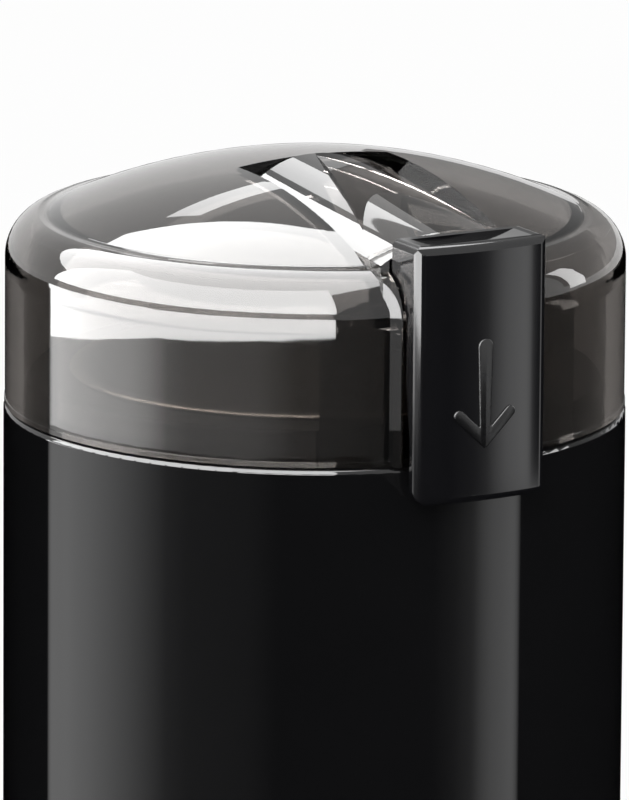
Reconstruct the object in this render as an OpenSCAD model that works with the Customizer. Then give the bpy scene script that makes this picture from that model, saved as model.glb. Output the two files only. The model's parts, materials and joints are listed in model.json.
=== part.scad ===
// Electric spice grinder: steel bowl with a spinning blade, clear domed lid and a sliding lid button.
// Millimetres, +Z up, front (the button side) towards -Y, origin on the table under the shaft axis.

/* [Bowl] */
// Inner diameter of the grinding bowl
bowl_d = 66; // [58:0.5:72]
// Depth of the bowl from its rolled rim to its floor
bowl_depth = 38; // [32:1:44]
// Sheet thickness of the bowl
bowl_sheet = 0.6; // [0.4:0.1:1]
// Radius between the bowl's floor and wall, inside
bowl_corner = 6; // [3:0.5:9]
// Width of the bowl's rolled rim beyond its wall
bowl_rim_w = 1.7; // [1.2:0.1:2]

/* [Body] */
// Height of the body's rim above the table
rim_z = 135; // [126:1:150]
// Wall of the outer housing
housing_wall = 2.4; // [1.8:0.1:3]
// Rounding of the housing's top edge
rim_round = 0.8; // [0.4:0.1:1.6]
// Rounding of the housing's bottom edge
foot_round = 2; // [1:0.5:2.2]
// How far the body's rim stands out beyond the lid
rim_proud = 0.2; // [0.1:0.05:0.5]
// Thickness of the deck plate inside the rim
deck_t = 2.5; // [2:0.1:3.5]
// Height of the lid collar above the rim
collar_h = 5; // [3:0.5:7]
// Depth of the deck plate's top below the rim
deck_drop = 1.5; // [1:0.1:2.5]
// Wall of the cup that carries the bowl
cup_wall = 1.8; // [1.4:0.1:2.4]

/* [Lid] */
// Wall of the lid
lid_wall = 2.6; // [2:0.1:3]
// Height of the lid's straight wall above the rim
lid_straight = 21; // [18:0.5:26]
// Radius of the lid's shoulder
shoulder_r = 6.3; // [4.5:0.1:8]
// Radius of the shoulder inside the lid
in_shoulder_r = 6.3; // [4.5:0.1:8]
// Thickness of the dome
lid_roof = 3.4; // [3:0.1:4.5]
// Rise of the dome above the shoulder
dome_rise = 8; // [6:0.5:12]
// Width of the ridge that leads to the button
ridge_w = 24; // [22.5:0.5:28]
// Drop of the ridge from its crest to its sides
ridge_drop = 3.2; // [2:0.1:4]
// Slope of the ridge's crest towards the button, in degrees
ridge_slope = 6; // [4:0.5:8]
// Distance of the ridge's blind end behind the axis
ridge_back = 1; // [0:0.5:4]
// Height of the bead along the lid's bottom edge
bead_h = 0.7; // [0.4:0.1:1.2]
// Thickness of the clear cover over the button's mechanism
cover_t = 1.4; // [1:0.1:1.8]

/* [Button] */
// Width of the button
button_w = 20.8; // [18:0.2:21.4]
// Height of the button's top above the rim
button_top = 31.6; // [29:0.2:34]
// Length of the button's skirt below the rim
button_skirt = 5; // [3:0.5:8]
// How far the button's face stands out beyond the body
button_proud = 3.7; // [3:0.1:5]
// Radius of the button's face, seen from above
button_face_r = 50; // [35:1:80]
// Depth of the button's head, front to back
button_head = 7.9; // [7:0.1:9]
// Rounding of the button's upright edges
button_edge = 1.2; // [0.8:0.1:2]
// Rounding of the button's lower corners, seen from the front
button_corner = 2.4; // [1.2:0.1:3.5]
// Depth of the finger dish in the button's top
dish_depth = 0.8; // [0.3:0.1:1.4]
// Travel of the button
button_travel = 3.5; // [2.5:0.1:4]
// Radius of the hollow in the lid behind the button
recess_r = 6.2; // [5:0.1:7]
// Height of that hollow's centre above the rim
recess_h = 16.2; // [15:0.1:18]

/* [Mechanism] */
// Radial room for the button's mechanism inside the lid
mech_room = 3.6; // [3.2:0.1:5]
// Thickness of the two legs that reach through the deck
leg_t = 1.6; // [1.2:0.1:2]
// Radius of the actuator rod
rod_r = 1.6; // [1.2:0.1:1.8]
// Lever arm of the switch, from its hinge to the rod's nose
lever_arm = 15; // [12:0.5:17]
// Distance of the switch's pin from the lever's hinge
pin_arm = 5; // [4:0.5:7]
// Length of the switch's body
switch_len = 27.8; // [26:0.2:29]
// Height of the switch's body
switch_h = 15.9; // [14:0.1:17]
// Thickness of the switch's body
switch_t = 10.3; // [8:0.1:10.6]

/* [Motor] */
// Radius of the motor's shaft
shaft_r = 3; // [2.5:0.1:4]
// Radius of the rotor's core
rotor_r = 13.8; // [12:0.1:15]
// Length of the rotor's and stator's stack
stack_h = 30; // [24:1:34]
// Width of the stator along X
stator_w = 56; // [52:1:60]
// Width of the stator along Y
stator_d = 46; // [44:0.5:48]
// Slots in the rotor's core
rotor_slots = 12; // [8:1:16]
// Bars of the commutator
commutator_bars = 24; // [16:2:32]
// Radius of the commutator
commutator_r = 8.5; // [7:0.1:10]

/* [Blade] */
// Length of the blade, tip to tip
blade_len = 54; // [44:1:56]
// Thickness of the blade
blade_t = 1.2; // [0.8:0.1:1.6]
// Width of the blade at its middle
blade_w = 13; // [12:0.5:16]
// Upward bend of the one wing, in degrees
blade_up = 16; // [8:1:20]
// Downward bend of the other wing, in degrees
blade_down = 6; // [2:1:8]

/* [Base] */
// Height of the rubber feet
foot_h = 2.5; // [1.5:0.5:4]
// Radius of the rubber feet
foot_r = 5; // [4:0.5:6]
// Thickness of the base cover
base_t = 2.4; // [2:0.2:3.2]
// Radius of the hole for the mains lead, in its bush
inlet_r = 3.6; // [3:0.1:4]
// Wall of that bush
bush_wall = 1.6; // [1.2:0.1:2]
// Radius of the screw shanks
screw_r = 1.5; // [1.2:0.1:1.8]

/* [Clearances] */
// Gap between fixed pieces that drop into each other
fit_gap = 0.2; // [0.1:0.05:0.3]
// Gap between the lid and the body
lid_gap = 0.4; // [0.3:0.05:0.6]
// Gap around the button and its mechanism
slide_gap = 0.4; // [0.3:0.05:0.6]
// Radial clearance of a shaft or rod in its bore
run_gap = 0.06; // [0.03:0.01:0.1]

/* [Hidden] */
$fn = 96;

// Overshoot of a cut past the face that it opens
cut = 1;
// Smallest overlap of two shapes that make one piece
bite = 0.5;

// The bowl, from its axis outwards
bowl_r = bowl_d / 2;
bowl_rim_z = rim_z + collar_h;
bowl_floor_z = bowl_rim_z - bowl_depth;
cup_in_r = bowl_r + bowl_sheet + fit_gap;
cup_r = cup_in_r + cup_wall;
cup_floor_t = 2.4;
cup_floor_z = bowl_floor_z - bowl_sheet - cup_floor_t;

// Room between the bowl and the lid's front wall
cover_y = cup_r + lid_gap;
room_y = cover_y + cover_t;
pad_in_y = room_y + mech_room;
pad_y = pad_in_y + lid_wall;
pad_set = 0.2;
lid_r = pad_y + pad_set;
lid_in_r = lid_r - lid_wall;
body_r = lid_r + rim_proud;
housing_in_r = body_r - housing_wall;
collar_r = lid_in_r - lid_gap;
deck_r = housing_in_r - fit_gap;
deck_top_z = rim_z - deck_drop;
deck_z = deck_top_z - deck_t;

// The lid, with heights counted from the rim
lid_seat = 0.2;
dome_r = lid_r - shoulder_r;
shoulder_top = lid_straight + shoulder_r;
dome_ball_r = (dome_r * dome_r + dome_rise * dome_rise) / (2 * dome_rise);
lid_top = shoulder_top + dome_rise;
in_dome_r = lid_in_r - in_shoulder_r;
in_dome_ball_r = dome_ball_r - lid_roof;
in_shoulder_top = lid_top - dome_ball_r + sqrt(in_dome_ball_r * in_dome_ball_r - in_dome_r * in_dome_r);
in_straight = in_shoulder_top - in_shoulder_r;
recess_side = 2;
ridge_ball_r = (ridge_w * ridge_w / 4 + ridge_drop * ridge_drop) / (2 * ridge_drop);
pad_half = 11;
pad_flare = 1.6;
pad_depth = 2.4;

// The button, with distances from the axis and heights from the rim
face_y = body_r + button_proud;
head_y = face_y - button_head;
ridge_end_y = head_y - slide_gap;
button_back_y = pad_y + slide_gap;
skirt_back_y = body_r + 2.5 * slide_gap;
recess_y = pad_y - recess_r;
head_arc_h = recess_h + button_travel + slide_gap;
wedge_low = button_travel + 2 * slide_gap;
wedge_high = 12;

// The retainer and its legs behind the lid's front wall
stem_half = 4.4;
stem_low = 9;
stem_high = 15;
retainer_front_y = pad_in_y - slide_gap;
retainer_low = 8.5;
retainer_high = 15.5;
leg_front_y = pad_in_y - 1.2;
leg_back_y = leg_front_y - leg_t;
leg_in = 3.2;
leg_out = 6.4;
leg_low = deck_z - rim_z - 1;
peg_r = 1.1;
peg_x = 2.2;
peg_len = 1.8;
peg_h = (stem_low + stem_high) / 2;
shelf_top = 1.8;
shelf_t = 1.2;
shelf_half = 2.4;
spring_y = (room_y + pad_in_y) / 2;
button_coil_r = 1.15;
button_wire_r = 0.22;

// The actuator rod, its guide and its spring
rod_y = (cup_r + housing_in_r) / 2;
rod_top_z = rim_z + leg_low - 0.3;
rod_head_t = 3;
rod_collar_r = rod_r + 1.1;
bracket_t = 2.5;
bracket_gap = 3.3;
bracket_top_z = cup_floor_z - bracket_gap;
bracket_z = bracket_top_z - bracket_t;
rod_spring_len = 11;
rod_coil_r = rod_r + 0.8;
rod_wire_r = 0.3;
rod_foot_top_z = bracket_z - button_travel + 0.5;
rod_foot_t = 3.2;
nose_r = 1.5;
nose_z = rod_foot_top_z - rod_foot_t;

// The switch under the rod's foot
switch_front_y = sqrt(pow(housing_in_r - 0.6, 2) - pow(switch_len / 2, 2));
switch_y = switch_front_y - switch_t / 2;
lever_t = 0.6;
lever_angle = button_travel / lever_arm * 180 / PI;
lever_x = switch_len / 2 - 1.4;
nose_x = lever_x - lever_arm;
lever_z = nose_z - 0.4 - lever_t / 2 - lever_arm * sin(lever_angle);
switch_top_z = lever_z - 0.9;
switch_z = switch_top_z - switch_h;
pin_x = lever_x - pin_arm;
pin_r = 1.2;
pin_top_z = lever_z + pin_arm * sin(lever_angle) - lever_t / 2 - 0.35;
lever_tail = 5;
plate_t = 1.6;
plate_half = 15.2;
hole_x = 11.1;
hole_up = 12.6;
hole_down = 3;

// The motor, counted down from the bowl's cup
winding_h = 6.5;
winding_room = 3.7;
bearing_h = 6;
bottom_plate_t = 4;
top_plate_z = cup_floor_z - 8.8;
top_bearing_z = top_plate_z - 1;
stack_top_z = top_plate_z - winding_room - winding_h;
stack_z = stack_top_z - stack_h;
motor_z = (stack_z + stack_top_z) / 2;
commutator_z = stack_z - winding_h - 14;
bottom_bearing_z = commutator_z - 3.5 - bearing_h;
bottom_plate_z = bottom_bearing_z + 1 - bottom_plate_t;
bore_r = rotor_r + 0.5;
yoke_t = 5;
neck_half = 7;
shoe_t = 3;
coil_gap = 0.4;
coil_room = 0.7;
coil_t = stator_w / 2 - yoke_t - bore_r - shoe_t - coil_gap - coil_room;
coil_side = 5.6;
coil_round = 4;
winding_r = 12;
bearing_r = 9.5;
bearing_wall = 2.2;
top_plate_t = 3;
commutator_h = 12;
brush_w = 5;
brush_h = 8;
brush_len = 12;
brush_z = commutator_z + commutator_h / 2;
brush_x = commutator_r + 0.3;
holder_t = 1;
holder_len = 20;
bolt_x = 20;
bolt_y = 19.5;
bolt_r = 1.5;
mount_r = 4;
shaft_low_z = bottom_bearing_z - 1;

// The shaft's top end and the blade
seal_r = 7;
seal_lip = 2;
hub_r = 6;
hub_z = bowl_floor_z + 3.5;
hub_h = 4;
blade_z = hub_z + hub_h;
washer_t = 1;
cap_h = 4;
shaft_top_z = blade_z + blade_t + washer_t + cap_h - 1;

// The base
base_z = foot_h;
base_r = housing_in_r - fit_gap;
boss_r = 3.4;
rib_t = 2.4;
boss_at = housing_in_r - 5;
boss_top_z = 24;
deck_boss_r = 2.6;
deck_boss_at = cup_r + fit_gap + deck_boss_r;
deck_boss_low = 18;
inlet_z = 12;
bush_r = inlet_r + bush_wall;
bush_ring_r = bush_r + 0.8;
bush_lip_r = bush_r + 1.4;
bush_lip_t = 1;
bush_depth = 6.4;
foot_at = housing_in_r - 8;
base_cup_r = 13;
vent_w = 2;
vent_len = 13;
vent_count = 16;
base_angles = [45, 135, 225, 315];
deck_angles = [25, 90, 155];

// ---------- shared shapes ----------

// Extrudes an outline drawn as distance in front of the axis and height, across the body's width
module across(half_w) {
    rotate([90, 0, -90])
        translate([0, 0, -half_w])
            linear_extrude(2 * half_w)
                children();
}

// Half outline of a disc with rounded top and bottom edges
module rounded_disc(r, low, high, top_round, low_round) {
    translate([0, low + low_round])
        square([r, high - low - low_round - top_round]);
    translate([0, high - top_round - bite])
        square([r - top_round, top_round + bite]);
    translate([r - top_round, high - top_round])
        circle(top_round);
    translate([0, low])
        square([r - low_round, low_round + bite]);
    translate([r - low_round, low + low_round])
        circle(low_round);
}

// Rectangle about the origin with round corners
module rounded_plate(w, d, r) {
    square([w - 2 * r, d], center = true);
    square([w, d - 2 * r], center = true);
    for (sx = [-1, 1], sy = [-1, 1])
        translate([sx * (w / 2 - r), sy * (d / 2 - r)])
            circle(r);
}

// Box given by its two corners
module block(low, high) {
    translate(low)
        cube(high - low);
}

// Upright round bar between two heights
module bar(r, low, high) {
    translate([0, 0, low])
        cylinder(r = r, h = high - low);
}

// Upright tube between two heights
module tube(r_out, r_in, low, high) {
    difference() {
        bar(r_out, low, high);
        bar(r_in, low - cut, high + cut);
    }
}

// Points of a ring of wire on a helix
function coil_ring(r, wire, turn, z, sides) =
    [for (k = [0 : sides - 1])
        let (a = 360 * k / sides, out = r + wire * cos(a))
        [out * cos(turn), out * sin(turn), z + wire * sin(a)]];

// Compression spring between two heights, wound about the Z axis
module coil_spring(r, wire, low, high, turns) {
    sides = 8;
    per_turn = 16;
    rings = turns * per_turn;
    rise = high - low - 2 * wire;
    points = [for (i = [0 : rings])
        each coil_ring(r, wire, 360 * i / per_turn, low + wire + rise * i / rings, sides)];
    skin = [for (i = [0 : rings - 1], k = [0 : sides - 1])
        let (n = (k + 1) % sides)
        [i * sides + k, i * sides + n, (i + 1) * sides + n, (i + 1) * sides + k]];
    start = [for (k = [0 : sides - 1]) sides - 1 - k];
    finish = [for (k = [0 : sides - 1]) rings * sides + k];
    polyhedron(points, concat([start, finish], skin), convexity = 10);
}

// Screw with a pan head, its tip up, its head's underside at a height
module screw_up(head_z, length, r) {
    bar(r, head_z - bite, head_z + length);
    translate([0, 0, head_z - 1.8])
        cylinder(r1 = 1.5 * r, r2 = 1.9 * r, h = 1.8);
}

// ---------- body ----------

module outer_housing() {
    color("#141416")
        difference() {
            union() {
                rotate_extrude()
                    difference() {
                        rounded_disc(body_r, base_z, rim_z, rim_round, foot_round);
                        translate([-cut, base_z - cut])
                            square([housing_in_r + cut, rim_z - base_z + 2 * cut]);
                    }
                // Ledge that carries the deck
                difference() {
                    tube(housing_in_r + bite, housing_in_r - 2.2, deck_z - 2.5, deck_z);
                    block([-leg_out - 4, -body_r, deck_z - 2.5 - cut], [leg_out + 4, 0, deck_z + cut]);
                }
                // Bosses for the base screws
                for (a = base_angles)
                    rotate([0, 0, a]) {
                        translate([boss_at, 0, 0])
                            bar(boss_r, base_z + base_t, boss_top_z);
                        block([boss_at + screw_r + bite, -rib_t / 2, base_z + base_t + bite],
                              [housing_in_r + bite, rib_t / 2, boss_top_z - bite]);
                    }
                // Bosses for the deck screws
                for (a = deck_angles)
                    rotate([0, 0, a]) {
                        translate([deck_boss_at, 0, 0])
                            bar(deck_boss_r, deck_z - deck_boss_low, deck_z - bite / 2);
                        block([deck_boss_at + screw_r + bite / 2, -rib_t / 2, deck_z - deck_boss_low + bite],
                              [housing_in_r + bite, rib_t / 2, deck_z - bite]);
                    }
            }
            // Hole for the mains lead's bush
            translate([0, housing_in_r - cut, inlet_z])
                rotate([-90, 0, 0])
                    cylinder(r = bush_r + fit_gap, h = housing_wall + 2 * cut);
            for (a = base_angles)
                rotate([0, 0, a])
                    translate([boss_at, 0, 0])
                        bar(screw_r + run_gap, base_z, boss_top_z - 2);
            for (a = deck_angles)
                rotate([0, 0, a])
                    translate([deck_boss_at, 0, 0])
                        bar(screw_r + run_gap, deck_z - deck_boss_low - cut, deck_z + cut);
        }
}

module top_deck() {
    color("#1b1b1d")
        difference() {
            union() {
                rotate_extrude()
                    difference() {
                        union() {
                            translate([0, cup_floor_z])
                                square([cup_r, bowl_rim_z - cup_floor_z]);
                            rounded_disc(collar_r, deck_z, bowl_rim_z, 0.6, 0.1);
                            translate([0, deck_z])
                                square([deck_r, deck_t]);
                        }
                        translate([-cut, cup_floor_z + cup_floor_t])
                            square([cup_in_r + cut, bowl_depth + 2 * cup_floor_t]);
                        translate([cup_r, deck_z - cut])
                            square([collar_r - 2 - cup_r, bowl_rim_z - 2 - deck_z + cut]);
                        translate([-cut, cup_floor_z - cut])
                            square([seal_r + fit_gap + cut, 2 * cup_floor_t]);
                    }
                // Flat front of the collar and the floor under the button's mechanism
                intersection() {
                    tube(deck_r, cup_in_r, deck_z, deck_top_z);
                    block([-deck_r, -deck_r, deck_z], [deck_r, -cup_in_r, deck_top_z]);
                }
                intersection() {
                    tube(collar_r, cup_in_r, deck_z, bowl_rim_z);
                    block([-collar_r, -cup_r, deck_z], [collar_r, -cup_r + 1.2, bowl_rim_z]);
                }
                intersection() {
                    bar(collar_r - bite, deck_z, bowl_rim_z - 1);
                    for (a = deck_angles)
                        rotate([0, 0, a])
                            translate([deck_boss_at, 0, 0])
                                bar(deck_boss_r, deck_z + fit_gap, bowl_rim_z - 1);
                }
                // Ribs that guide the rod's head
                for (s = [-1, 1])
                    intersection() {
                        translate([s * (leg_out + 2.2), -rod_y, deck_z - 3])
                            cube([2, 2 * mech_room, 6 + bite], center = true);
                        bar(deck_r - 0.2, deck_z - 6, deck_z + bite);
                    }
            }
            // The collar stays behind the button's mechanism
            block([-body_r, -body_r, deck_top_z], [body_r, -cup_r, bowl_rim_z + cut]);
            // Slot for the two legs
            block([-leg_out - slide_gap, -leg_front_y - slide_gap, deck_z - cut],
                  [leg_out + slide_gap, -leg_back_y + slide_gap, deck_top_z + cut]);
            for (a = deck_angles)
                rotate([0, 0, a])
                    translate([deck_boss_at, 0, 0])
                        bar(screw_r + run_gap, deck_z - cut, bowl_rim_z - 3);
            // Holes for the motor mounts and for the bracket's screws
            for (sx = [-1, 1], sy = [-1, 1])
                translate([sx * bolt_x, sy * bolt_y, 0])
                    bar(bolt_r + 0.3, cup_floor_z - cut, cup_floor_z + cup_floor_t + cut);
            for (s = [-1, 1])
                translate([s * bracket_post_x, -bracket_post_y, 0])
                    bar(screw_r + run_gap, cup_floor_z - cut, cup_floor_z + cup_floor_t - 0.4);
        }
}

module grinding_bowl() {
    color("#c9cbce")
        rotate_extrude()
            difference() {
                union() {
                    translate([0, bowl_floor_z - bowl_sheet])
                        square([bowl_r + bowl_sheet - bowl_corner, bowl_sheet + bowl_corner]);
                    translate([bowl_r - bowl_corner, bowl_floor_z + bowl_corner])
                        circle(bowl_corner + bowl_sheet);
                    translate([0, bowl_floor_z + bowl_corner])
                        square([bowl_r + bowl_sheet, bowl_depth - bowl_corner]);
                    // Rolled rim on the cup
                    translate([0, bowl_rim_z])
                        square([bowl_r + bowl_rim_w - 0.4, 0.8]);
                    translate([bowl_r + bowl_rim_w - 0.4, bowl_rim_z + 0.4])
                        circle(0.4);
                }
                translate([-cut, bowl_floor_z + bowl_corner])
                    square([bowl_r + cut, bowl_depth + 2 * cut]);
                translate([-cut, bowl_floor_z])
                    square([bowl_r - bowl_corner + cut, bowl_corner + cut]);
                translate([bowl_r - bowl_corner, bowl_floor_z + bowl_corner])
                    circle(bowl_corner);
                translate([-cut, bowl_floor_z - 2 * bowl_sheet])
                    square([seal_r + cut - 1.5, 4 * bowl_sheet]);
            }
}

module bowl_gasket() {
    color("#3a3a3c")
        tube(seal_r + 3, seal_r + 0.6, cup_floor_z - 2, cup_floor_z);
}

module shaft_seal() {
    color("#2b2b2d")
        rotate_extrude()
            difference() {
                translate([0, cup_floor_z])
                    union() {
                        square([seal_r, cup_floor_t]);
                        translate([0, cup_floor_t])
                            square([seal_r - 1.5 - 0.05, bowl_sheet]);
                        translate([0, cup_floor_t + bowl_sheet])
                            square([seal_r + seal_lip - 1, 1]);
                        translate([0, cup_floor_t + bowl_sheet + 1])
                            square([shaft_r + 1.6, 1.2]);
                    }
                translate([-cut, cup_floor_z - cut])
                    square([shaft_r + run_gap + cut, 3 * cup_floor_t + cut]);
            }
}

module base_cover() {
    color("#1d1d1f")
        difference() {
            union() {
                bar(base_r, base_z, base_z + base_t);
                tube(base_r - 0.4, base_r - 2, base_z + base_t - bite, base_z + base_t + 2.4);
                // Cup for the motor's lower mount
                tube(base_cup_r + 1.8, base_cup_r, base_z + base_t - bite, bottom_plate_z - 4);
                for (a = [0 : 45 : 315])
                    rotate([0, 0, a])
                        block([base_cup_r + 1, -0.8, base_z + base_t - bite],
                              [base_cup_r + 6, 0.8, bottom_plate_z - 7]);
            }
            for (a = base_angles)
                rotate([0, 0, a])
                    translate([boss_at, 0, 0]) {
                        bar(screw_r + 0.2, base_z - cut, base_z + base_t + cut);
                        bar(boss_r + 0.4, base_z + base_t, base_z + base_t + 4);
                        block([0, -boss_r - 0.4, base_z + base_t], [body_r - boss_at, boss_r + 0.4, base_z + base_t + 4]);
                        bar(1.9 * screw_r + 0.4, base_z - cut, base_z + 1);
                    }
            // Notch for the mains lead's bush
            block([-bush_ring_r - 0.4, base_r - 3, base_z + base_t],
                  [bush_ring_r + 0.4, base_r + cut, inlet_z]);
            // Ventilation slots
            for (i = [0 : vent_count - 1])
                rotate([0, 0, 360 * (i + 0.5) / vent_count])
                    translate([(base_cup_r + foot_at) / 2 + 2, 0, base_z - cut])
                        linear_extrude(base_t + 2 * cut)
                            rounded_plate(vent_len, vent_w, vent_w / 2 - 0.01);
        }
}

module rubber_feet() {
    color("#2a2a2c")
        for (a = [0 : 90 : 270])
            rotate([0, 0, a])
                translate([foot_at, 0, 0])
                    rotate_extrude()
                        rounded_disc(foot_r, 0, base_z, 0.1, 0.8);
}

// Bush snapped into the wall, with a lip outside and a ring inside
module inlet_bush() {
    color("#2a2a2c")
        translate([0, body_r, inlet_z])
            rotate([-90, 0, 0])
                rotate_extrude()
                    difference() {
                        union() {
                            translate([0, -bush_depth])
                                square([bush_r, bush_depth + bush_lip_t]);
                            translate([0, bush_lip_t / 20])
                                square([bush_lip_r, bush_lip_t * 19 / 20]);
                            translate([0, -housing_wall - bush_lip_t - bite])
                                square([bush_ring_r, bush_lip_t]);
                        }
                        translate([-cut, -bush_depth - cut])
                            square([inlet_r + cut, bush_depth + bush_lip_t + 2 * cut]);
                    }
}

module base_screws() {
    color("#8d9094")
        for (a = base_angles)
            rotate([0, 0, a])
                translate([boss_at, 0, 0])
                    screw_up(base_z + 1, 14, screw_r);
}

module deck_screws() {
    color("#8d9094")
        for (a = deck_angles)
            rotate([0, 0, a])
                translate([deck_boss_at, 0, 0])
                    screw_up(deck_z - deck_boss_low, deck_boss_low + 5, screw_r);
}

// ---------- motor ----------

module motor_top_bracket() {
    color("#b9bcc0")
        difference() {
            union() {
                translate([0, 0, top_plate_z])
                    linear_extrude(top_plate_t)
                        difference() {
                            rounded_plate(stator_w - 2, stator_d, 9);
                            for (sy = [-1, 1])
                                translate([0, sy * (bearing_r + bearing_wall + 7)])
                                    rounded_plate(22, 8, 3);
                        }
                bar(bearing_r + bearing_wall, top_bearing_z - 1.2, top_bearing_z + bearing_h);
                // Legs down to the stator
                for (sx = [-1, 1], sy = [-1, 1])
                    translate([sx * bolt_x, sy * bolt_y, 0])
                        bar(bolt_r + 2, stack_top_z, top_plate_z + bite);
            }
            bar(bearing_r + 0.02, top_bearing_z, top_plate_z + bearing_h + cut);
            bar(bearing_r - 2, top_bearing_z - 1.2 - cut, top_bearing_z + cut);
            for (sx = [-1, 1], sy = [-1, 1])
                translate([sx * bolt_x, sy * bolt_y, 0])
                    bar(bolt_r + 0.1, stack_top_z - cut, top_plate_z + top_plate_t + cut);
        }
}

module motor_bottom_bracket() {
    color("#b9bcc0")
        difference() {
            union() {
                translate([0, 0, bottom_plate_z])
                    linear_extrude(bottom_plate_t)
                        rounded_plate(stator_w - 2, stator_d, 9);
                bar(bearing_r + bearing_wall, bottom_bearing_z - 3, bottom_bearing_z + bearing_h);
                // Spigot in the base cover's cup
                bar(base_cup_r - fit_gap - 1.2, bottom_plate_z - 5, bottom_plate_z + bite);
                for (sx = [-1, 1], sy = [-1, 1])
                    translate([sx * bolt_x, sy * bolt_y, 0])
                        bar(bolt_r + 2, bottom_plate_z + bottom_plate_t - bite, stack_z);
            }
            bar(bearing_r + 0.02, bottom_bearing_z, bottom_bearing_z + bearing_h + cut);
            bar(bearing_r - 2, bottom_bearing_z - 2, bottom_bearing_z + cut);
            for (sx = [-1, 1], sy = [-1, 1])
                translate([sx * bolt_x, sy * bolt_y, 0])
                    bar(bolt_r + 0.1, bottom_plate_z - cut, stack_z + cut);
            for (sy = [-1, 1])
                translate([0, sy * (bearing_r + bearing_wall + 5.5), bottom_plate_z - cut])
                    linear_extrude(bottom_plate_t + 2 * cut)
                        rounded_plate(26, 5, 2.4);
        }
}

module motor_mounts() {
    color("#333335") {
        for (sx = [-1, 1], sy = [-1, 1])
            translate([sx * bolt_x, sy * bolt_y, 0])
                tube(mount_r, bolt_r + 0.2, top_plate_z + top_plate_t, cup_floor_z);
        // Ring around the lower spigot
        tube(base_cup_r - 0.1, base_cup_r - 1.2, base_z + base_t, bottom_plate_z - 4.2);
    }
}

module motor_screws() {
    color("#8d9094")
        for (sx = [-1, 1], sy = [-1, 1])
            translate([sx * bolt_x, sy * bolt_y, 0])
                screw_up(bottom_plate_z, cup_floor_z + cup_floor_t - 0.4 - bottom_plate_z, bolt_r);
}

module stator_outline() {
    difference() {
        union() {
            difference() {
                rounded_plate(stator_w, stator_d, 9);
                rounded_plate(stator_w - 2 * yoke_t, stator_d - 2 * yoke_t, 5);
            }
            for (s = [-1, 1]) {
                // Neck and shoe of each pole
                translate([s * (bore_r + stator_w / 2 - 1) / 2, 0])
                    square([stator_w / 2 - 1 - bore_r, 2 * neck_half], center = true);
                intersection() {
                    circle(bore_r + shoe_t);
                    polygon([[0, 0], [s * 40, 50], [s * 40, -50]]);
                }
            }
            for (sx = [-1, 1], sy = [-1, 1])
                translate([sx * bolt_x, sy * bolt_y])
                    circle(bolt_r + 2);
        }
        circle(bore_r);
        for (sx = [-1, 1], sy = [-1, 1])
            translate([sx * bolt_x, sy * bolt_y])
                circle(bolt_r + 0.1);
    }
}

module stator_core() {
    color("#6f7276")
        translate([0, 0, stack_z])
            linear_extrude(stack_h)
                stator_outline();
}

module field_coils() {
    color("#9a5a2c")
        for (s = [-1, 1])
            translate([s * (bore_r + shoe_t + coil_gap + coil_t / 2), 0, motor_z])
                rotate([0, 90, 0])
                    translate([0, 0, -coil_t / 2])
                        linear_extrude(coil_t)
                            difference() {
                                rounded_plate(stack_h + 2 * coil_side, 2 * (neck_half + coil_side), coil_round);
                                rounded_plate(stack_h + 2 * coil_gap, 2 * (neck_half + coil_gap), 0.5);
                            }
}

module brush_holders() {
    color("#3b2f24")
        for (s = [-1, 1])
            rotate([0, 0, s > 0 ? 0 : 180])
                difference() {
                    union() {
                        translate([brush_x + 1.2 + holder_len / 2, 0, brush_z])
                            cube([holder_len, brush_w + 2 * holder_t + 0.2, brush_h + 2 * holder_t + 0.2],
                                 center = true);
                        // Foot on the lower bracket
                        block([brush_x + 5, -brush_w / 2, bottom_plate_z + bottom_plate_t],
                              [brush_x + 14, brush_w / 2, brush_z - brush_h / 2]);
                    }
                    translate([brush_x + holder_len / 2 - holder_t, 0, brush_z])
                        cube([holder_len + 1, brush_w + 0.2, brush_h + 0.2], center = true);
                }
}

module carbon_brushes() {
    color("#2f2f31")
        for (s = [-1, 1])
            rotate([0, 0, s > 0 ? 0 : 180])
                difference() {
                    translate([brush_x + brush_len / 2, 0, brush_z])
                        cube([brush_len, brush_w, brush_h], center = true);
                    // Face that follows the commutator
                    bar(commutator_r + 0.4, brush_z - brush_h, brush_z + brush_h);
                }
}

module brush_springs() {
    color("#a9acb0")
        for (s = [-1, 1])
            rotate([0, 0, s > 0 ? 0 : 180])
                translate([brush_x + brush_len, 0, brush_z])
                    rotate([0, 90, 0])
                        coil_spring(1.9, 0.25, 0.05, holder_len - brush_len - 0.4, 4);
}

module bearing(low) {
    rotate_extrude()
        difference() {
            translate([shaft_r + run_gap, low])
                square([bearing_r - shaft_r - run_gap, bearing_h]);
            for (z = [low, low + bearing_h])
                translate([(shaft_r + bearing_r) / 2, z])
                    square([bearing_r - shaft_r - 3, 0.8], center = true);
        }
}

module top_bearing() {
    color("#c4c7ca")
        bearing(top_bearing_z);
}

module bottom_bearing() {
    color("#c4c7ca")
        bearing(bottom_bearing_z);
}

module motor_shaft() {
    color("#b4b7bb")
        difference() {
            union() {
                bar(shaft_r, shaft_low_z, shaft_top_z - 0.6);
                translate([0, 0, shaft_top_z - 0.6])
                    cylinder(r1 = shaft_r, r2 = shaft_r - 0.6, h = 0.6);
            }
            // Flat that drives the blade's hub
            block([shaft_r - 0.5, -shaft_r - cut, hub_z + 0.5], [shaft_r + cut, shaft_r + cut, shaft_top_z + cut]);
        }
}

module rotor_core() {
    color("#77797d")
        translate([0, 0, stack_z])
            linear_extrude(stack_h)
                difference() {
                    circle(rotor_r);
                    circle(shaft_r);
                    for (i = [0 : rotor_slots - 1])
                        rotate(360 * (i + 0.5) / rotor_slots) {
                            translate([rotor_r - 3.6, 0])
                                circle(1.9);
                            translate([rotor_r - 3.6, -0.6])
                                square([4.6, 1.2]);
                        }
                }
}

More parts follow.
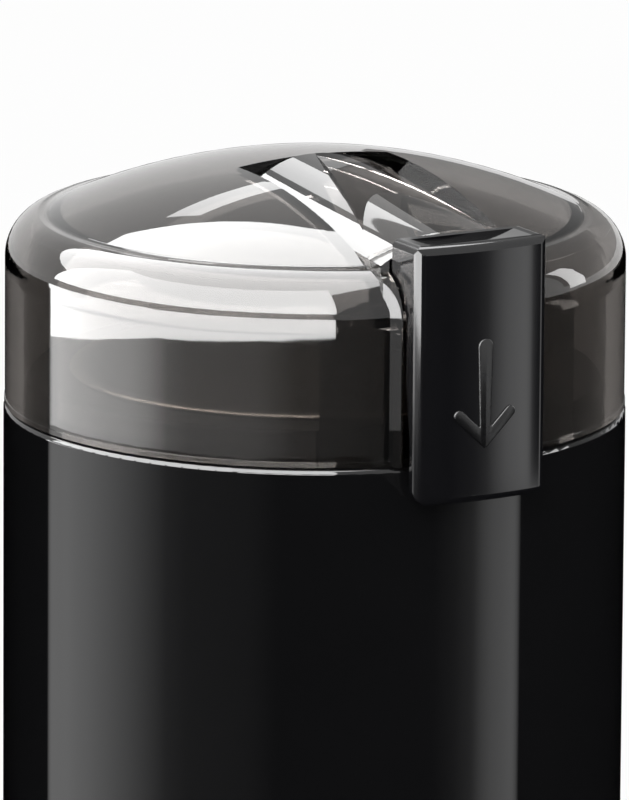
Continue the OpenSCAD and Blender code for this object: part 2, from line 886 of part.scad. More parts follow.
module armature_windings() {
    color("#a8622f")
        for (low = [stack_z - winding_h, stack_top_z])
            difference() {
                rotate_extrude()
                    difference() {
                        rounded_disc(winding_r, low, low + winding_h, 2.2, 2.2);
                        translate([-cut, low - cut])
                            square([shaft_r + 1 + cut, winding_h + 2 * cut]);
                    }
                for (i = [0 : rotor_slots - 1])
                    rotate([0, 0, 360 * i / rotor_slots])
                        translate([winding_r + 0.4, 0, low - cut])
                            cylinder(r = 1.3, h = winding_h + 2 * cut);
            }
}

module commutator() {
    color("#b06a3a")
        difference() {
            union() {
                bar(commutator_r, commutator_z, commutator_z + commutator_h + 1.7);
                bar(commutator_r + 1.6, commutator_z + commutator_h, commutator_z + commutator_h + 1.7);
            }
            bar(shaft_r, commutator_z - cut, commutator_z + commutator_h + 3);
            for (i = [0 : commutator_bars - 1])
                rotate([0, 0, 360 * i / commutator_bars])
                    block([commutator_r - 0.7, -0.2, commutator_z - cut],
                          [commutator_r + 3, 0.2, commutator_z + commutator_h + 3]);
        }
}

module thrust_washers() {
    color("#d8d4c4") {
        tube(shaft_r + 2.4, shaft_r, top_bearing_z - 0.8, top_bearing_z - 0.1);
        tube(shaft_r + 2.4, shaft_r, bottom_bearing_z + bearing_h + 0.1, bottom_bearing_z + bearing_h + 0.8);
    }
}

// ---------- blade ----------

module blade_hub() {
    color("#26262a")
        difference() {
            rotate_extrude()
                rounded_disc(hub_r, hub_z, hub_z + hub_h, 0.05, 1);
            difference() {
                bar(shaft_r, hub_z - cut, hub_z + hub_h + cut);
                block([shaft_r - 0.5, -shaft_r, hub_z + 0.5], [shaft_r + cut, shaft_r, hub_z + hub_h + cut]);
            }
        }
}

// One wing from the bend line outwards, with a ground leading edge
module blade_wing(bend, low) {
    root = blade_w / 2 + 0.5;
    reach = (blade_len / 2 - root) / cos(bend);
    translate([root, 0, blade_z + (bend > 0 ? blade_t / 2 : blade_t / 2)])
        rotate([0, -bend, 0])
            difference() {
                translate([-0.6, 0, -blade_t / 2])
                    linear_extrude(blade_t)
                        difference() {
                            polygon([[0, -blade_w / 2], [reach - 5, -blade_w / 2 + 2.2], [reach, -0.5],
                                     [reach - 2, 2.2], [reach - 9, blade_w / 2 - 1.2], [0, blade_w / 2]]);
                            translate([reach - 7, blade_w / 2 + 5.4])
                                circle(6);
                        }
                // Ground edge
                translate([3, -blade_w / 2 - 0.4, blade_t / 2])
                    rotate([-38, 0, 6])
                        cube([reach + 4, 3, 2 * blade_t]);
            }
}

module grinding_blade() {
    color("#d2d4d7")
        difference() {
            union() {
                translate([0, 0, blade_z])
                    linear_extrude(blade_t)
                        rounded_plate(blade_w + 1.4, blade_w, 2);
                blade_wing(blade_up, 0);
                rotate([0, 0, 180])
                    blade_wing(-blade_down, 0);
            }
            difference() {
                bar(shaft_r, blade_z - cut, blade_z + blade_t + cut);
                block([shaft_r - 0.5, -shaft_r, blade_z - cut], [shaft_r + cut, shaft_r, blade_z + blade_t + cut]);
            }
        }
}

module blade_washer() {
    color("#26262a")
        difference() {
            rotate_extrude()
                union() {
                    translate([0, blade_z + blade_t])
                        square([hub_r - 0.5, washer_t]);
                    rounded_disc(hub_r - 1.6, blade_z + blade_t + washer_t - 0.2, blade_z + blade_t + washer_t + cap_h,
                                 1.4, 0.1);
                }
            difference() {
                bar(shaft_r, blade_z, shaft_top_z);
                block([shaft_r - 0.5, -shaft_r, blade_z - cut], [shaft_r + cut, shaft_r, shaft_top_z + cut]);
            }
        }
}

// ---------- switch ----------

bracket_post_x = 10.5;
bracket_post_y = cup_r - 4.6;
bracket_post_r = 2.8;

module switch_bracket() {
    color("#cfcfc8")
        difference() {
            union() {
                // Shelf under the cup, with the rod's guide
                intersection() {
                    block([-plate_half, -housing_in_r, bracket_z], [plate_half, plate_back_y + plate_t, bracket_top_z]);
                    bar(housing_in_r - 0.5, bracket_z - cut, bracket_top_z + cut);
                }
                for (s = [-1, 1])
                    translate([s * bracket_post_x, -bracket_post_y, 0])
                        bar(bracket_post_r, bracket_z, cup_floor_z);
                // Plate that carries the switch
                block([-plate_half, plate_back_y, switch_z - 1], [plate_half, plate_back_y + plate_t, bracket_top_z]);
            }
            translate([0, -rod_y, 0])
                bar(rod_r + run_gap, bracket_z - cut, bracket_top_z + cut);
            for (s = [-1, 1])
                translate([s * bracket_post_x, -bracket_post_y, 0])
                    bar(screw_r + 0.1, bracket_z - cut, cup_floor_z + cut);
            for (s = [-1, 1])
                translate([s * hole_x, plate_back_y - cut, s > 0 ? switch_z + hole_down : switch_z + hole_up])
                    rotate([-90, 0, 0])
                        cylinder(r = screw_r - 0.4, h = plate_t + 2 * cut);
        }
}

module bracket_screws() {
    color("#8d9094")
        for (s = [-1, 1])
            translate([s * bracket_post_x, -bracket_post_y, 0])
                screw_up(bracket_z, cup_floor_z + cup_floor_t - 0.6 - bracket_z, screw_r);
}

plate_back_y = -(switch_y - switch_t / 2);

module switch_body() {
    color("#202225")
        difference() {
            union() {
                block([-switch_len / 2, -switch_front_y, switch_z], [switch_len / 2, plate_back_y, switch_top_z]);
                // Ears of the lever's hinge
                for (s = [-1, 1])
                    translate([lever_x, -switch_y + s * (lever_w / 2 + 1), switch_top_z - bite])
                        block([-1.2, -0.7, 0], [1.2, 0.7, lever_z + 1.2 - switch_top_z + bite]);
            }
            for (s = [-1, 1])
                translate([s * hole_x, -switch_front_y - cut, s > 0 ? switch_z + hole_down : switch_z + hole_up])
                    rotate([-90, 0, 0])
                        cylinder(r = screw_r - 0.3, h = switch_t + 2 * cut);
            translate([pin_x, -switch_y, 0])
                bar(pin_r + run_gap, switch_top_z - 4, switch_top_z + cut);
            // Hinge holes in the ears
            translate([lever_x, -switch_y - lever_w, lever_z])
                rotate([-90, 0, 0])
                    cylinder(r = hinge_r + run_gap, h = 2 * lever_w);
        }
}

lever_w = 4;
hinge_r = 0.6;
tab_w = 6.3;
tab_t = 0.8;
tab_len = 8;

module switch_terminals() {
    color("#c9a24a")
        for (x = [-9.5, 0, 9.5])
            translate([x, -switch_y, 0])
                difference() {
                    block([-tab_w / 2, -tab_t / 2, switch_z - tab_len], [tab_w / 2, tab_t / 2, switch_z]);
                    translate([0, -tab_t, switch_z - tab_len + 2.6])
                        rotate([-90, 0, 0])
                            cylinder(r = 0.8, h = 2 * tab_t);
                }
}

module switch_screws() {
    color("#8d9094")
        for (s = [-1, 1])
            translate([s * hole_x, plate_back_y + plate_t, s > 0 ? switch_z + hole_down : switch_z + hole_up])
                rotate([90, 0, 0])
                    screw_up(0, switch_t + plate_t - 1, screw_r - 0.4);
}

module switch_lever() {
    color("#b9bcc0")
        translate([lever_x, -switch_y, lever_z])
            rotate([0, lever_angle, 0]) {
                translate([-lever_arm - lever_tail, -lever_w / 2, -lever_t / 2])
                    cube([lever_arm + lever_tail, lever_w, lever_t]);
                rotate([90, 0, 0])
                    translate([0, 0, -lever_w / 2 - 1.6])
                        cylinder(r = hinge_r, h = lever_w + 3.2);
            }
}

module switch_pin() {
    color("#d9402c")
        translate([pin_x, -switch_y, 0])
            rotate_extrude()
                polygon([[0, switch_top_z - 2.4], [pin_r, switch_top_z - 2.4], [pin_r, pin_top_z - 0.4],
                         [pin_r - 0.4, pin_top_z], [0, pin_top_z]]);
}

module actuator_rod() {
    color("#e4e2da")
        union() {
            translate([0, -rod_y, 0]) {
                bar(rod_r, rod_foot_top_z - rod_foot_t, rod_top_z - bite);
                bar(rod_collar_r, bracket_top_z + rod_spring_len, bracket_top_z + rod_spring_len + 1.5);
            }
            // Head under the button's legs
            block([-leg_out - 0.6, -leg_front_y - 0.2, rod_top_z - rod_head_t],
                  [leg_out + 0.6, -leg_back_y + 0.2, rod_top_z]);
            // Foot with a round nose over the switch's lever
            block([nose_x - nose_r, -rod_y - rod_r + 0.2, nose_z + nose_r],
                  [rod_r, -rod_y + rod_r - 0.2, rod_foot_top_z]);
            block([nose_x - nose_r, -rod_y, nose_z + nose_r], [nose_x + nose_r, -switch_y + 2, rod_foot_top_z]);
            translate([nose_x, -rod_y, nose_z + nose_r])
                rotate([-90, 0, 0])
                    cylinder(r = nose_r, h = rod_y - switch_y + 2);
        }
}

module rod_spring() {
    color("#a9acb0")
        translate([0, -rod_y, 0])
            coil_spring(rod_coil_r, rod_wire_r, bracket_top_z + 0.05, bracket_top_z + rod_spring_len - 0.05, 6);
}

// ---------- lid ----------

// Half outline of a domed round body: wall, shoulder and dome
module domed(r, low, straight, round_r, ball_z, ball_r) {
    flat_r = r - round_r;
    translate([0, low])
        square([r, straight - low]);
    translate([0, low])
        square([flat_r, straight + round_r - low]);
    translate([flat_r, straight])
        circle(round_r);
    intersection() {
        translate([0, ball_z])
            circle(ball_r);
        translate([0, straight])
            square([flat_r, lid_top]);
    }
}

// Half outline of the lid without its ridge
module lid_outline() {
    domed(lid_r, lid_seat, lid_straight, shoulder_r, lid_top - dome_ball_r, dome_ball_r);
}

// Half outline of the lid's hollow, a little smaller all round by a gap
module hollow_outline(gap) {
    domed(lid_in_r - gap, -cut, in_straight, in_shoulder_r - gap, lid_top - dome_ball_r, in_dome_ball_r - gap);
}

// Space over the ridge, across its width
module ridge_space() {
    half = ridge_w / 2;
    block([-half, -ridge_end_y, lid_straight - shoulder_r], [half, ridge_back, lid_top + cut]);
}

// The lid's round body with its ridge, as a solid
module lid_form() {
    difference() {
        rotate_extrude()
            lid_outline();
        ridge_space();
    }
    intersection() {
        translate([0, 0, lid_top - ridge_ball_r / cos(ridge_slope)])
            rotate([90 + ridge_slope, 0, 0])
                translate([0, 0, -body_r])
                    cylinder(r = ridge_ball_r, h = 3 * body_r);
        ridge_space();
    }
}

// Outline of the lid's front behind the button, as distance and height
module front_outline(inset) {
    translate([0, -2 * cut])
        square([pad_y - inset, recess_h + 2 * cut]);
    translate([recess_y, recess_h])
        circle(recess_r - inset);
    translate([0, -2 * cut])
        square([recess_y, recess_h + recess_r - inset + 2 * cut]);
    translate([0, -2 * cut])
        square([ridge_end_y - inset, lid_top + 4 * cut]);
}

// Everything in front of that outline, across a half width
module front_cut(inset, half) {
    difference() {
        block([-half, -body_r - button_proud, -cut], [half, -recess_y + 2 * recess_r, lid_top + cut]);
        across(half + cut)
            front_outline(inset);
    }
}

// The lid's hollow, a little smaller all round by a gap
module lid_hollow(gap) {
    difference() {
        rotate_extrude()
            hollow_outline(gap);
        front_cut(lid_wall + gap, button_w / 2 + slide_gap + recess_side);
    }
}

module lid_shell() {
    color([0.42, 0.4, 0.39, 0.45])
        translate([0, 0, rim_z])
            difference() {
                union() {
                    difference() {
                        union() {
                            lid_form();
                            // Bead along the bottom edge
                            translate([0, 0, lid_seat])
                                cylinder(r = lid_r + 0.1, h = bead_h);
                            // Flat pad that the button slides on
                            intersection() {
                                linear_extrude(lid_top)
                                    polygon([[-pad_half - pad_flare, -pad_y + pad_depth], [-pad_half, -pad_y],
                                             [pad_half, -pad_y], [pad_half + pad_flare, -pad_y + pad_depth],
                                             [0, 0]]);
                                across(pad_half + pad_flare)
                                    translate([-pad_set, 0])
                                        lid_outline();
                            }
                        }
                        front_cut(0, button_w / 2 + slide_gap);
                        lid_hollow(0);
                    }
                    // Shelf under the button's spring
                    block([-shelf_half, -pad_in_y - bite, shelf_top - shelf_t],
                          [shelf_half, -room_y - fit_gap, shelf_top]);
                }
                // Slot for the button's stem
                block([-stem_half - slide_gap, -pad_y - cut, stem_low - button_travel - slide_gap],
                      [stem_half + slide_gap, -pad_in_y + cut, stem_high + slide_gap]);
            }
}

module pocket_cover() {
    color([0.42, 0.4, 0.39, 0.45])
        translate([0, 0, rim_z])
            intersection() {
                block([-lid_r, -room_y, lid_seat], [lid_r, -cover_y, lid_top]);
                lid_hollow(fit_gap);
            }
}

// ---------- button ----------

// The button seen from above, with its curved face
module button_plan() {
    half = button_w / 2;
    centre_y = face_y - button_face_r;
    corner_x = half - button_edge;
    corner_y = centre_y + sqrt(pow(button_face_r - button_edge, 2) - corner_x * corner_x);
    mirror([0, 1])
        union() {
            intersection() {
                translate([0, centre_y])
                    circle(button_face_r);
                translate([-corner_x, 0])
                    square([2 * corner_x, face_y + cut]);
            }
            translate([-half, 0])
                square([2 * half, corner_y]);
            for (s = [-1, 1])
                translate([s * corner_x, corner_y])
                    circle(button_edge);
        }
}

// The button seen from the side, as distance and height
module button_side() {
    height = button_top + button_skirt;
    difference() {
        translate([head_y, -button_skirt])
            square([button_head, height]);
        translate([0, -button_skirt - cut])
            square([button_back_y, head_arc_h + button_skirt + cut]);
        translate([recess_y, head_arc_h])
            circle(recess_r + slide_gap);
        polygon([[0, wedge_high], [button_back_y, wedge_high], [skirt_back_y, wedge_low],
                 [skirt_back_y, -button_skirt - cut], [0, -button_skirt - cut]]);
    }
}

module push_button() {
    height = button_top + button_skirt;
    dish_half = button_w / 2 - button_edge - 1;
    dish_r = (dish_half * dish_half + dish_depth * dish_depth) / (2 * dish_depth);
    color("#161618")
        translate([0, 0, rim_z])
            union() {
                difference() {
                    intersection() {
                        translate([0, 0, -button_skirt])
                            linear_extrude(height)
                                button_plan();
                        across(button_w)
                            button_side();
                        translate([0, 0, button_top - height / 2])
                            rotate([90, 0, 0])
                                linear_extrude(face_y + cut) {
                                    rounded_plate(button_w, height, button_corner);
                                    translate([0, height / 4])
                                        rounded_plate(button_w, height / 2, button_edge);
                                }
                        translate([0, button_face_r - face_y, 0])
                            rotate_extrude()
                                rounded_disc(button_face_r, -button_skirt, button_top, button_edge, button_edge);
                    }
                    // Dish for the fingertip
                    translate([0, -head_y - 1.2, button_top - dish_depth + dish_r])
                        rotate([90, 0, 0])
                            cylinder(r = dish_r, h = button_head - 2.8, $fn = 360);
                }
                // Stem through the lid's slot, with two pegs for the retainer
                block([-stem_half, -button_back_y - bite, stem_low], [stem_half, -retainer_front_y, stem_high]);
                for (s = [-1, 1])
                    translate([s * peg_x, -retainer_front_y - bite, peg_h])
                        rotate([-90, 0, 0])
                            cylinder(r = peg_r, h = peg_len + bite);
            }
}

module button_retainer() {
    color("#2a2a2d")
        translate([0, 0, rim_z])
            difference() {
                union() {
                    block([-leg_out, -retainer_front_y, retainer_low], [leg_out, -leg_back_y, retainer_high]);
                    for (s = [-1, 1])
                        translate([s * (leg_in + leg_out) / 2, 0, 0])
                            block([(leg_in - leg_out) / 2, -leg_front_y, leg_low],
                                  [(leg_out - leg_in) / 2, -leg_back_y, retainer_low + bite]);
                }
                for (s = [-1, 1])
                    translate([s * peg_x, -retainer_front_y - cut, peg_h])
                        rotate([-90, 0, 0])
                            cylinder(r = peg_r + run_gap, h = peg_len + run_gap + cut);
            }
}

module button_spring() {
    color("#a9acb0")
        translate([0, -spring_y, rim_z])
            coil_spring(button_coil_r, button_wire_r, shelf_top + 0.05, retainer_low - 0.05, 6);
}

outer_housing();
top_deck();
grinding_bowl();
bowl_gasket();
shaft_seal();
base_cover();
rubber_feet();
inlet_bush();
base_screws();
deck_screws();
motor_top_bracket();
motor_bottom_bracket();
motor_mounts();
motor_screws();
stator_core();
field_coils();
brush_holders();
carbon_brushes();
brush_springs();
top_bearing();
bottom_bearing();
switch_bracket();
bracket_screws();
switch_body();
switch_terminals();
switch_screws();
rod_spring();
motor_shaft();
rotor_core();
armature_windings();
commutator();
thrust_washers();
grinding_blade();
blade_hub();
blade_washer();
lid_shell();
pocket_cover();
button_spring();
push_button();
button_retainer();
actuator_rod();
switch_lever();
switch_pin();
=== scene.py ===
import json
from math import atan2, cos, degrees, hypot, pi, radians, sin, sqrt

import bmesh
import bpy
from bpy.props import FloatProperty, FloatVectorProperty, IntProperty, PointerProperty
from mathutils import Matrix, Vector


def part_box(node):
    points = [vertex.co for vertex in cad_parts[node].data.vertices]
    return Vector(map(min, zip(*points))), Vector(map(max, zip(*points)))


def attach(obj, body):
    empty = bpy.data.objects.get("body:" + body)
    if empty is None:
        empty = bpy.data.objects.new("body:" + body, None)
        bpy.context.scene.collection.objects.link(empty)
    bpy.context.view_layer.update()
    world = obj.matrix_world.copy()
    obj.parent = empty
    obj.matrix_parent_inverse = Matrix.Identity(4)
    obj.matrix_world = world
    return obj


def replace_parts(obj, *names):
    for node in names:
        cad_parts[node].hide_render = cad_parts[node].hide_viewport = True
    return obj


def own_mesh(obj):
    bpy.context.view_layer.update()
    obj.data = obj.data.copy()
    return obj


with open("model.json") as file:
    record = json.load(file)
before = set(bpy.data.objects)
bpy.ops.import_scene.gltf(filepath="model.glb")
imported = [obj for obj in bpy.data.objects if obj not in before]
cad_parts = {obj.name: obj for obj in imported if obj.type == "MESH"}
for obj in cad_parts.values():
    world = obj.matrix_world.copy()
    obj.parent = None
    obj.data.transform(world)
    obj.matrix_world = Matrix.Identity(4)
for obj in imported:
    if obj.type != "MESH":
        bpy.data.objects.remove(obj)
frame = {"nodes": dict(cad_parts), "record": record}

bl_info = {
    "name": "Spice grinder",
    "version": (1, 0, 0),
    "blender": (4, 5, 0),
    "location": "View3D > Sidebar > Grinder",
    "description": "Dresses the grinder's parts in their finishes and sets them in a small studio",
    "category": "Object",
}

MM = 0.001
ABS_IOR = 1.53

# The groove round the dome: its two radii, the height above which it runs, and its depth
GROOVE_FROM, GROOVE_TO = 37.4 * MM, 39.2 * MM
GROOVE_ABOVE = 160.8 * MM
GROOVE_DEPTH = 0.4 * MM

# The button's face, how far it slides, and the arrow's foot in it and its rounded edge
FACE_RADIUS = 50 * MM
ARROW_SUNK = 0.15 * MM
ARROW_EDGE = 0.16 * MM

# The camera: its angle round the object and above it, what it looks at, its distance, lens and tilt
CAMERA_AZIMUTH = -29.5
CAMERA_HEIGHT = 12.6
CAMERA_TARGET = Vector((0, 0, 0.135))
CAMERA_DISTANCE = 1.6
CAMERA_LENS = 509
CAMERA_TILT = 0.4

# The studio: the floor, the wraps of card and the point that the soft boxes face
FLOOR_RADIUS = 8
WRAP_RADIUS = 0.31
CARD_STEPS = 120
BOX_TARGET = Vector((0, 0, 0.16))
BOX_DISTANCE = 0.9
FLOOR_WHITE = 0.92

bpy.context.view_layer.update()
SLOT_OF = {part["node"]: part["material_slot"] for part in frame["record"]["subparts"]}


def linear(colour):
    """The linear red, green and blue of an sRGB hex colour."""
    levels = [int(colour[i:i + 2], 16) / 255 for i in (1, 3, 5)]
    return [v / 12.92 if v <= 0.04045 else ((v + 0.055) / 1.055) ** 2.4 for v in levels]


def colour(text, label, default):
    """A colour property."""
    return FloatVectorProperty(name=text, description=label, default=linear(default), subtype="COLOR",
                               size=3, min=0, max=1)


def length(text, label, default):
    """A length property, given in millimetres."""
    return FloatProperty(name=text, description=label, default=default * MM, min=0, unit="LENGTH",
                         precision=5)


class GrinderSizes(bpy.types.PropertyGroup):
    """Sizes of the pieces that are modelled here."""
    arrow_top: length("Arrow's top", "Height of the arrow's blunt end above the rim", 18.1)
    arrow_tip: length("Arrow's tip", "Height of the arrow's tip above the rim", 2.6)
    arrow_span: length("Arrow's half span", "From the middle to the centre of a barb's end", 4.05)
    arrow_rise: length("Barb's rise", "How far a barb's end stands above the point of the arrow", 3.8)
    arrow_stroke: length("Stroke", "Width of a barb", 1.6)
    arrow_head_end: length("Shaft, top", "Half width of the shaft at its blunt end", 1.2)
    arrow_neck: length("Shaft, foot", "Half width of the shaft where the barbs meet it", 0.85)
    arrow_raise: length("Relief", "How far the arrow stands out of the button's face", 0.25)
    button_wire: length("Button spring's wire", "Radius of the wire", 0.22)
    rod_wire: length("Rod spring's wire", "Radius of the wire", 0.3)
    brush_wire: length("Brush spring's wire", "Radius of the wire", 0.25)
    press_turns: IntProperty(name="Turns", description="Turns of the two push springs", default=7, min=2)
    brush_turns: IntProperty(name="Brush turns", description="Turns of a brush spring", default=6, min=2)


class GrinderColours(bpy.types.PropertyGroup):
    """Colours of the finishes."""
    shell: colour("Shell", "Gloss black of the body", "#0f0f10")
    smoke: colour("Smoke", "Tint of the clear lid, seen through one wall", "#706c69")
    button: colour("Button", "Black of the button", "#0f0f11")
    inner_black: colour("Inner black", "Spark-eroded black of the deck and the base", "#1c1c1e")
    rubber: colour("Rubber", "Black rubber of the feet, the seals and the mounts", "#1b1b1c")
    bowl: colour("Bowl", "Stainless steel of the bowl", "#c9c7c3")
    blade: colour("Blade", "Hardened stainless steel of the blade", "#cfcecb")
    zinc: colour("Zinc", "Zinc plating of the screws", "#bcc0c4")
    casting: colour("Casting", "Die-cast aluminium of the motor's brackets", "#b3b4b5")
    core: colour("Core", "Electrical steel of the motor's cores", "#73777b")
    wire: colour("Winding wire", "Enamelled copper wire", "#9c4a1f")
    phenolic: colour("Phenolic", "Brown moulding of the brush holders", "#5b3b26")
    carbon: colour("Carbon", "Graphite of the brushes", "#2c2c2d")
    spring: colour("Spring steel", "Drawn wire and strip", "#a4a7ab")
    bearing: colour("Bearing", "Ground bearing steel", "#c4c6c9")
    shaft: colour("Shaft", "Ground steel of the shaft", "#b9bcbf")
    copper: colour("Copper", "Turned copper of the commutator", "#c9744a")
    brass: colour("Brass", "Stamped brass of the terminals", "#cfae5a")
    pale: colour("Ivory", "Ivory polyester of the switch's bracket", "#d9d4c6")
    switch: colour("Switch", "Black thermoset of the switch", "#232326")
    nylon: colour("Nylon", "Natural nylon of the rod and the washers", "#e4dfd0")
    hub: colour("Hub", "Black acetal of the blade's hub", "#1f1f21")
    pin: colour("Pin", "Red acetal of the switch's pin", "#b3312a")


# ---------- helpers ----------

def add(tree, kind, values=None, links=None, **settings):
    """Adds a node to a tree, sets it and its inputs, and links other nodes' outputs into it."""
    made = tree.nodes.new(kind)
    for key, value in settings.items():
        setattr(made, key, value)
    for key, value in (values or {}).items():
        made.inputs[key].default_value = value
    for key, output in (links or {}).items():
        tree.links.new(output, made.inputs[key])
    return made


def per_mm(size):
    """Scale of a noise whose grains are that many millimetres wide."""
    return 1 / (size * MM)


def stripe(pitch):
    """Scale of a wave texture whose stripes lie that many millimetres apart."""
    return 2 * pi / (20 * pitch * MM)


def rgba(tint):
    """A colour with full alpha."""
    return (*tint, 1)


def start(name):
    """A new material, its node tree and its Object coordinates."""
    made = bpy.data.materials.new(name)
    made.use_nodes = True
    made.node_tree.nodes.clear()
    place = add(made.node_tree, "ShaderNodeTexCoord").outputs["Object"]
    return made, made.node_tree, place


def close(made, shader):
    """Links the shader to the material's output."""
    add(made.node_tree, "ShaderNodeOutputMaterial", links={"Surface": shader})
    return made


def blended(tree, factor, low, high):
    """A colour between two, by a factor."""
    ramp = add(tree, "ShaderNodeValToRGB", links={"Fac": factor})
    ramp.color_ramp.elements[0].color = rgba(low)
    ramp.color_ramp.elements[1].color = rgba(high)
    return ramp.outputs["Color"]


def between(tree, value, low, high):
    """Maps a value of 0 to 1 on to a range."""
    return add(tree, "ShaderNodeMapRange", {"To Min": low, "To Max": high},
               {"Value": value}).outputs["Result"]


def shade(tint, share):
    """A colour made darker or lighter by a share."""
    return [min(1, v * share) for v in tint]


def turned(tree, place):
    """Coordinates that follow the radius and the height only, for marks left by turning or spinning."""
    flat = add(tree, "ShaderNodeVectorMath", {1: (1, 1, 0)}, {0: place}, operation="MULTIPLY")
    radius = add(tree, "ShaderNodeVectorMath", None, {0: flat.outputs["Vector"]}, operation="LENGTH")
    height = add(tree, "ShaderNodeSeparateXYZ", None, {"Vector": place})
    return add(tree, "ShaderNodeCombineXYZ", None, {"X": radius.outputs["Value"],
               "Z": height.outputs["Z"]}).outputs["Vector"]


def relief(tree, height, depth):
    """A bump that many millimetres deep."""
    return add(tree, "ShaderNodeBump", {"Strength": 1, "Distance": depth * MM},
               {"Height": height}).outputs["Normal"]


# ---------- finishes ----------

def gloss_abs(name, tint, sheen, ripple):
    """ABS moulded in a polished tool: deep gloss, a slow ripple in what it mirrors, faint smears."""
    made, tree, place = start(name)
    swell = add(tree, "ShaderNodeTexNoise", {"Scale": per_mm(11), "Detail": 1}, {"Vector": place})
    smear = add(tree, "ShaderNodeTexNoise", {"Scale": per_mm(24), "Detail": 4, "Roughness": 0.6},
                {"Vector": place})
    shader = add(tree, "ShaderNodeBsdfPrincipled", {"IOR": ABS_IOR}, {
        "Base Color": blended(tree, smear.outputs["Fac"], shade(tint, 0.85), shade(tint, 1.15)),
        "Roughness": between(tree, smear.outputs["Fac"], sheen * 0.8, sheen * 1.3),
        "Normal": relief(tree, swell.outputs["Fac"], ripple)})
    return close(made, shader.outputs["BSDF"])


def eroded(name, tint, grain, rough, ior=ABS_IOR):
    """A moulding from a spark-eroded tool: fine pits that make it matt."""
    made, tree, place = start(name)
    pits = add(tree, "ShaderNodeTexNoise", {"Scale": per_mm(grain), "Detail": 3, "Roughness": 0.65},
               {"Vector": place})
    cloud = add(tree, "ShaderNodeTexNoise", {"Scale": per_mm(15), "Detail": 3}, {"Vector": place})
    shader = add(tree, "ShaderNodeBsdfPrincipled", {"IOR": ior}, {
        "Base Color": blended(tree, pits.outputs["Fac"], shade(tint, 0.7), shade(tint, 1.3)),
        "Roughness": between(tree, cloud.outputs["Fac"], rough - 0.07, rough + 0.07),
        "Normal": relief(tree, pits.outputs["Fac"], grain / 12)})
    return close(made, shader.outputs["BSDF"])


def smoke_clear(name, tint):
    """Smoke-tinted clear SAN: a polished glassy moulding, with faint flow lines in its surface."""
    made, tree, place = start(name)
    flow = add(tree, "ShaderNodeTexNoise", {"Scale": per_mm(13), "Detail": 2, "Distortion": 0.6},
               {"Vector": place})
    # A fine groove round the dome, where it meets the shoulder
    radius = add(tree, "ShaderNodeSeparateXYZ", None, {"Vector": turned(tree, place)})
    dip = add(tree, "ShaderNodeMapRange", {"From Min": GROOVE_FROM, "From Max": GROOVE_TO},
              {"Value": radius.outputs["X"]})
    arch = add(tree, "ShaderNodeValToRGB", None, {"Fac": dip.outputs["Result"]})
    arch.color_ramp.interpolation = "B_SPLINE"
    arch.color_ramp.elements[0].color = (1, 1, 1, 1)
    arch.color_ramp.elements[1].color = (1, 1, 1, 1)
    arch.color_ramp.elements.new(0.5).color = (0, 0, 0, 1)
    outside = add(tree, "ShaderNodeMath", {1: GROOVE_ABOVE}, {0: radius.outputs["Z"]},
                  operation="GREATER_THAN")
    groove = add(tree, "ShaderNodeMix", {"A": 1}, {"Factor": outside.outputs["Value"],
                 "B": arch.outputs["Color"]}, data_type="FLOAT")
    cut = add(tree, "ShaderNodeBump", {"Strength": 1, "Distance": GROOVE_DEPTH},
              {"Height": groove.outputs[0], "Normal": relief(tree, flow.outputs["Fac"], 0.006)})
    shader = add(tree, "ShaderNodeBsdfPrincipled",
                 {"Base Color": rgba(tint), "IOR": 1.57, "Transmission Weight": 1},
                 {"Roughness": between(tree, flow.outputs["Fac"], 0, 0.03),
                  "Normal": cut.outputs["Normal"]})
    # Lamps shine through the moulding, as they do through the real one
    passing = add(tree, "ShaderNodeBsdfTransparent", {"Color": rgba([v ** 0.5 for v in tint])})
    ray = add(tree, "ShaderNodeLightPath")
    mixed = add(tree, "ShaderNodeMixShader", None, {"Fac": ray.outputs["Is Shadow Ray"],
                1: shader.outputs["BSDF"], 2: passing.outputs["BSDF"]})
    return close(made, mixed.outputs["Shader"])


def spun_steel(name, tint, pitch, low, high):
    """Metal that was spun, turned or polished on a lathe: fine rings round its axis."""
    made, tree, place = start(name)
    rings = add(tree, "ShaderNodeTexNoise", {"Scale": per_mm(pitch), "Detail": 3, "Roughness": 0.7},
                {"Vector": turned(tree, place)})
    stain = add(tree, "ShaderNodeTexNoise", {"Scale": per_mm(18), "Detail": 3}, {"Vector": place})
    shader = add(tree, "ShaderNodeBsdfPrincipled", {"Metallic": 1, "Anisotropic": 0.35}, {
        "Base Color": blended(tree, stain.outputs["Fac"], shade(tint, 0.88), shade(tint, 1.05)),
        "Roughness": between(tree, rings.outputs["Fac"], low, high),
        "Normal": relief(tree, rings.outputs["Fac"], pitch / 90)})
    return close(made, shader.outputs["BSDF"])


def strip_steel(name, tint, way, pitch, low, high):
    """Rolled or ground strip: fine lines along its length."""
    made, tree, place = start(name)
    drawn = add(tree, "ShaderNodeMapping", {"Scale": way}, {"Vector": place}, vector_type="TEXTURE")
    lines = add(tree, "ShaderNodeTexNoise", {"Scale": per_mm(pitch), "Detail": 3, "Roughness": 0.7},
                {"Vector": drawn.outputs["Vector"]})
    shader = add(tree, "ShaderNodeBsdfPrincipled", {"Metallic": 1}, {
        "Base Color": blended(tree, lines.outputs["Fac"], shade(tint, 0.85), shade(tint, 1.08)),
        "Roughness": between(tree, lines.outputs["Fac"], low, high),
        "Normal": relief(tree, lines.outputs["Fac"], pitch / 30)})
    return close(made, shader.outputs["BSDF"])


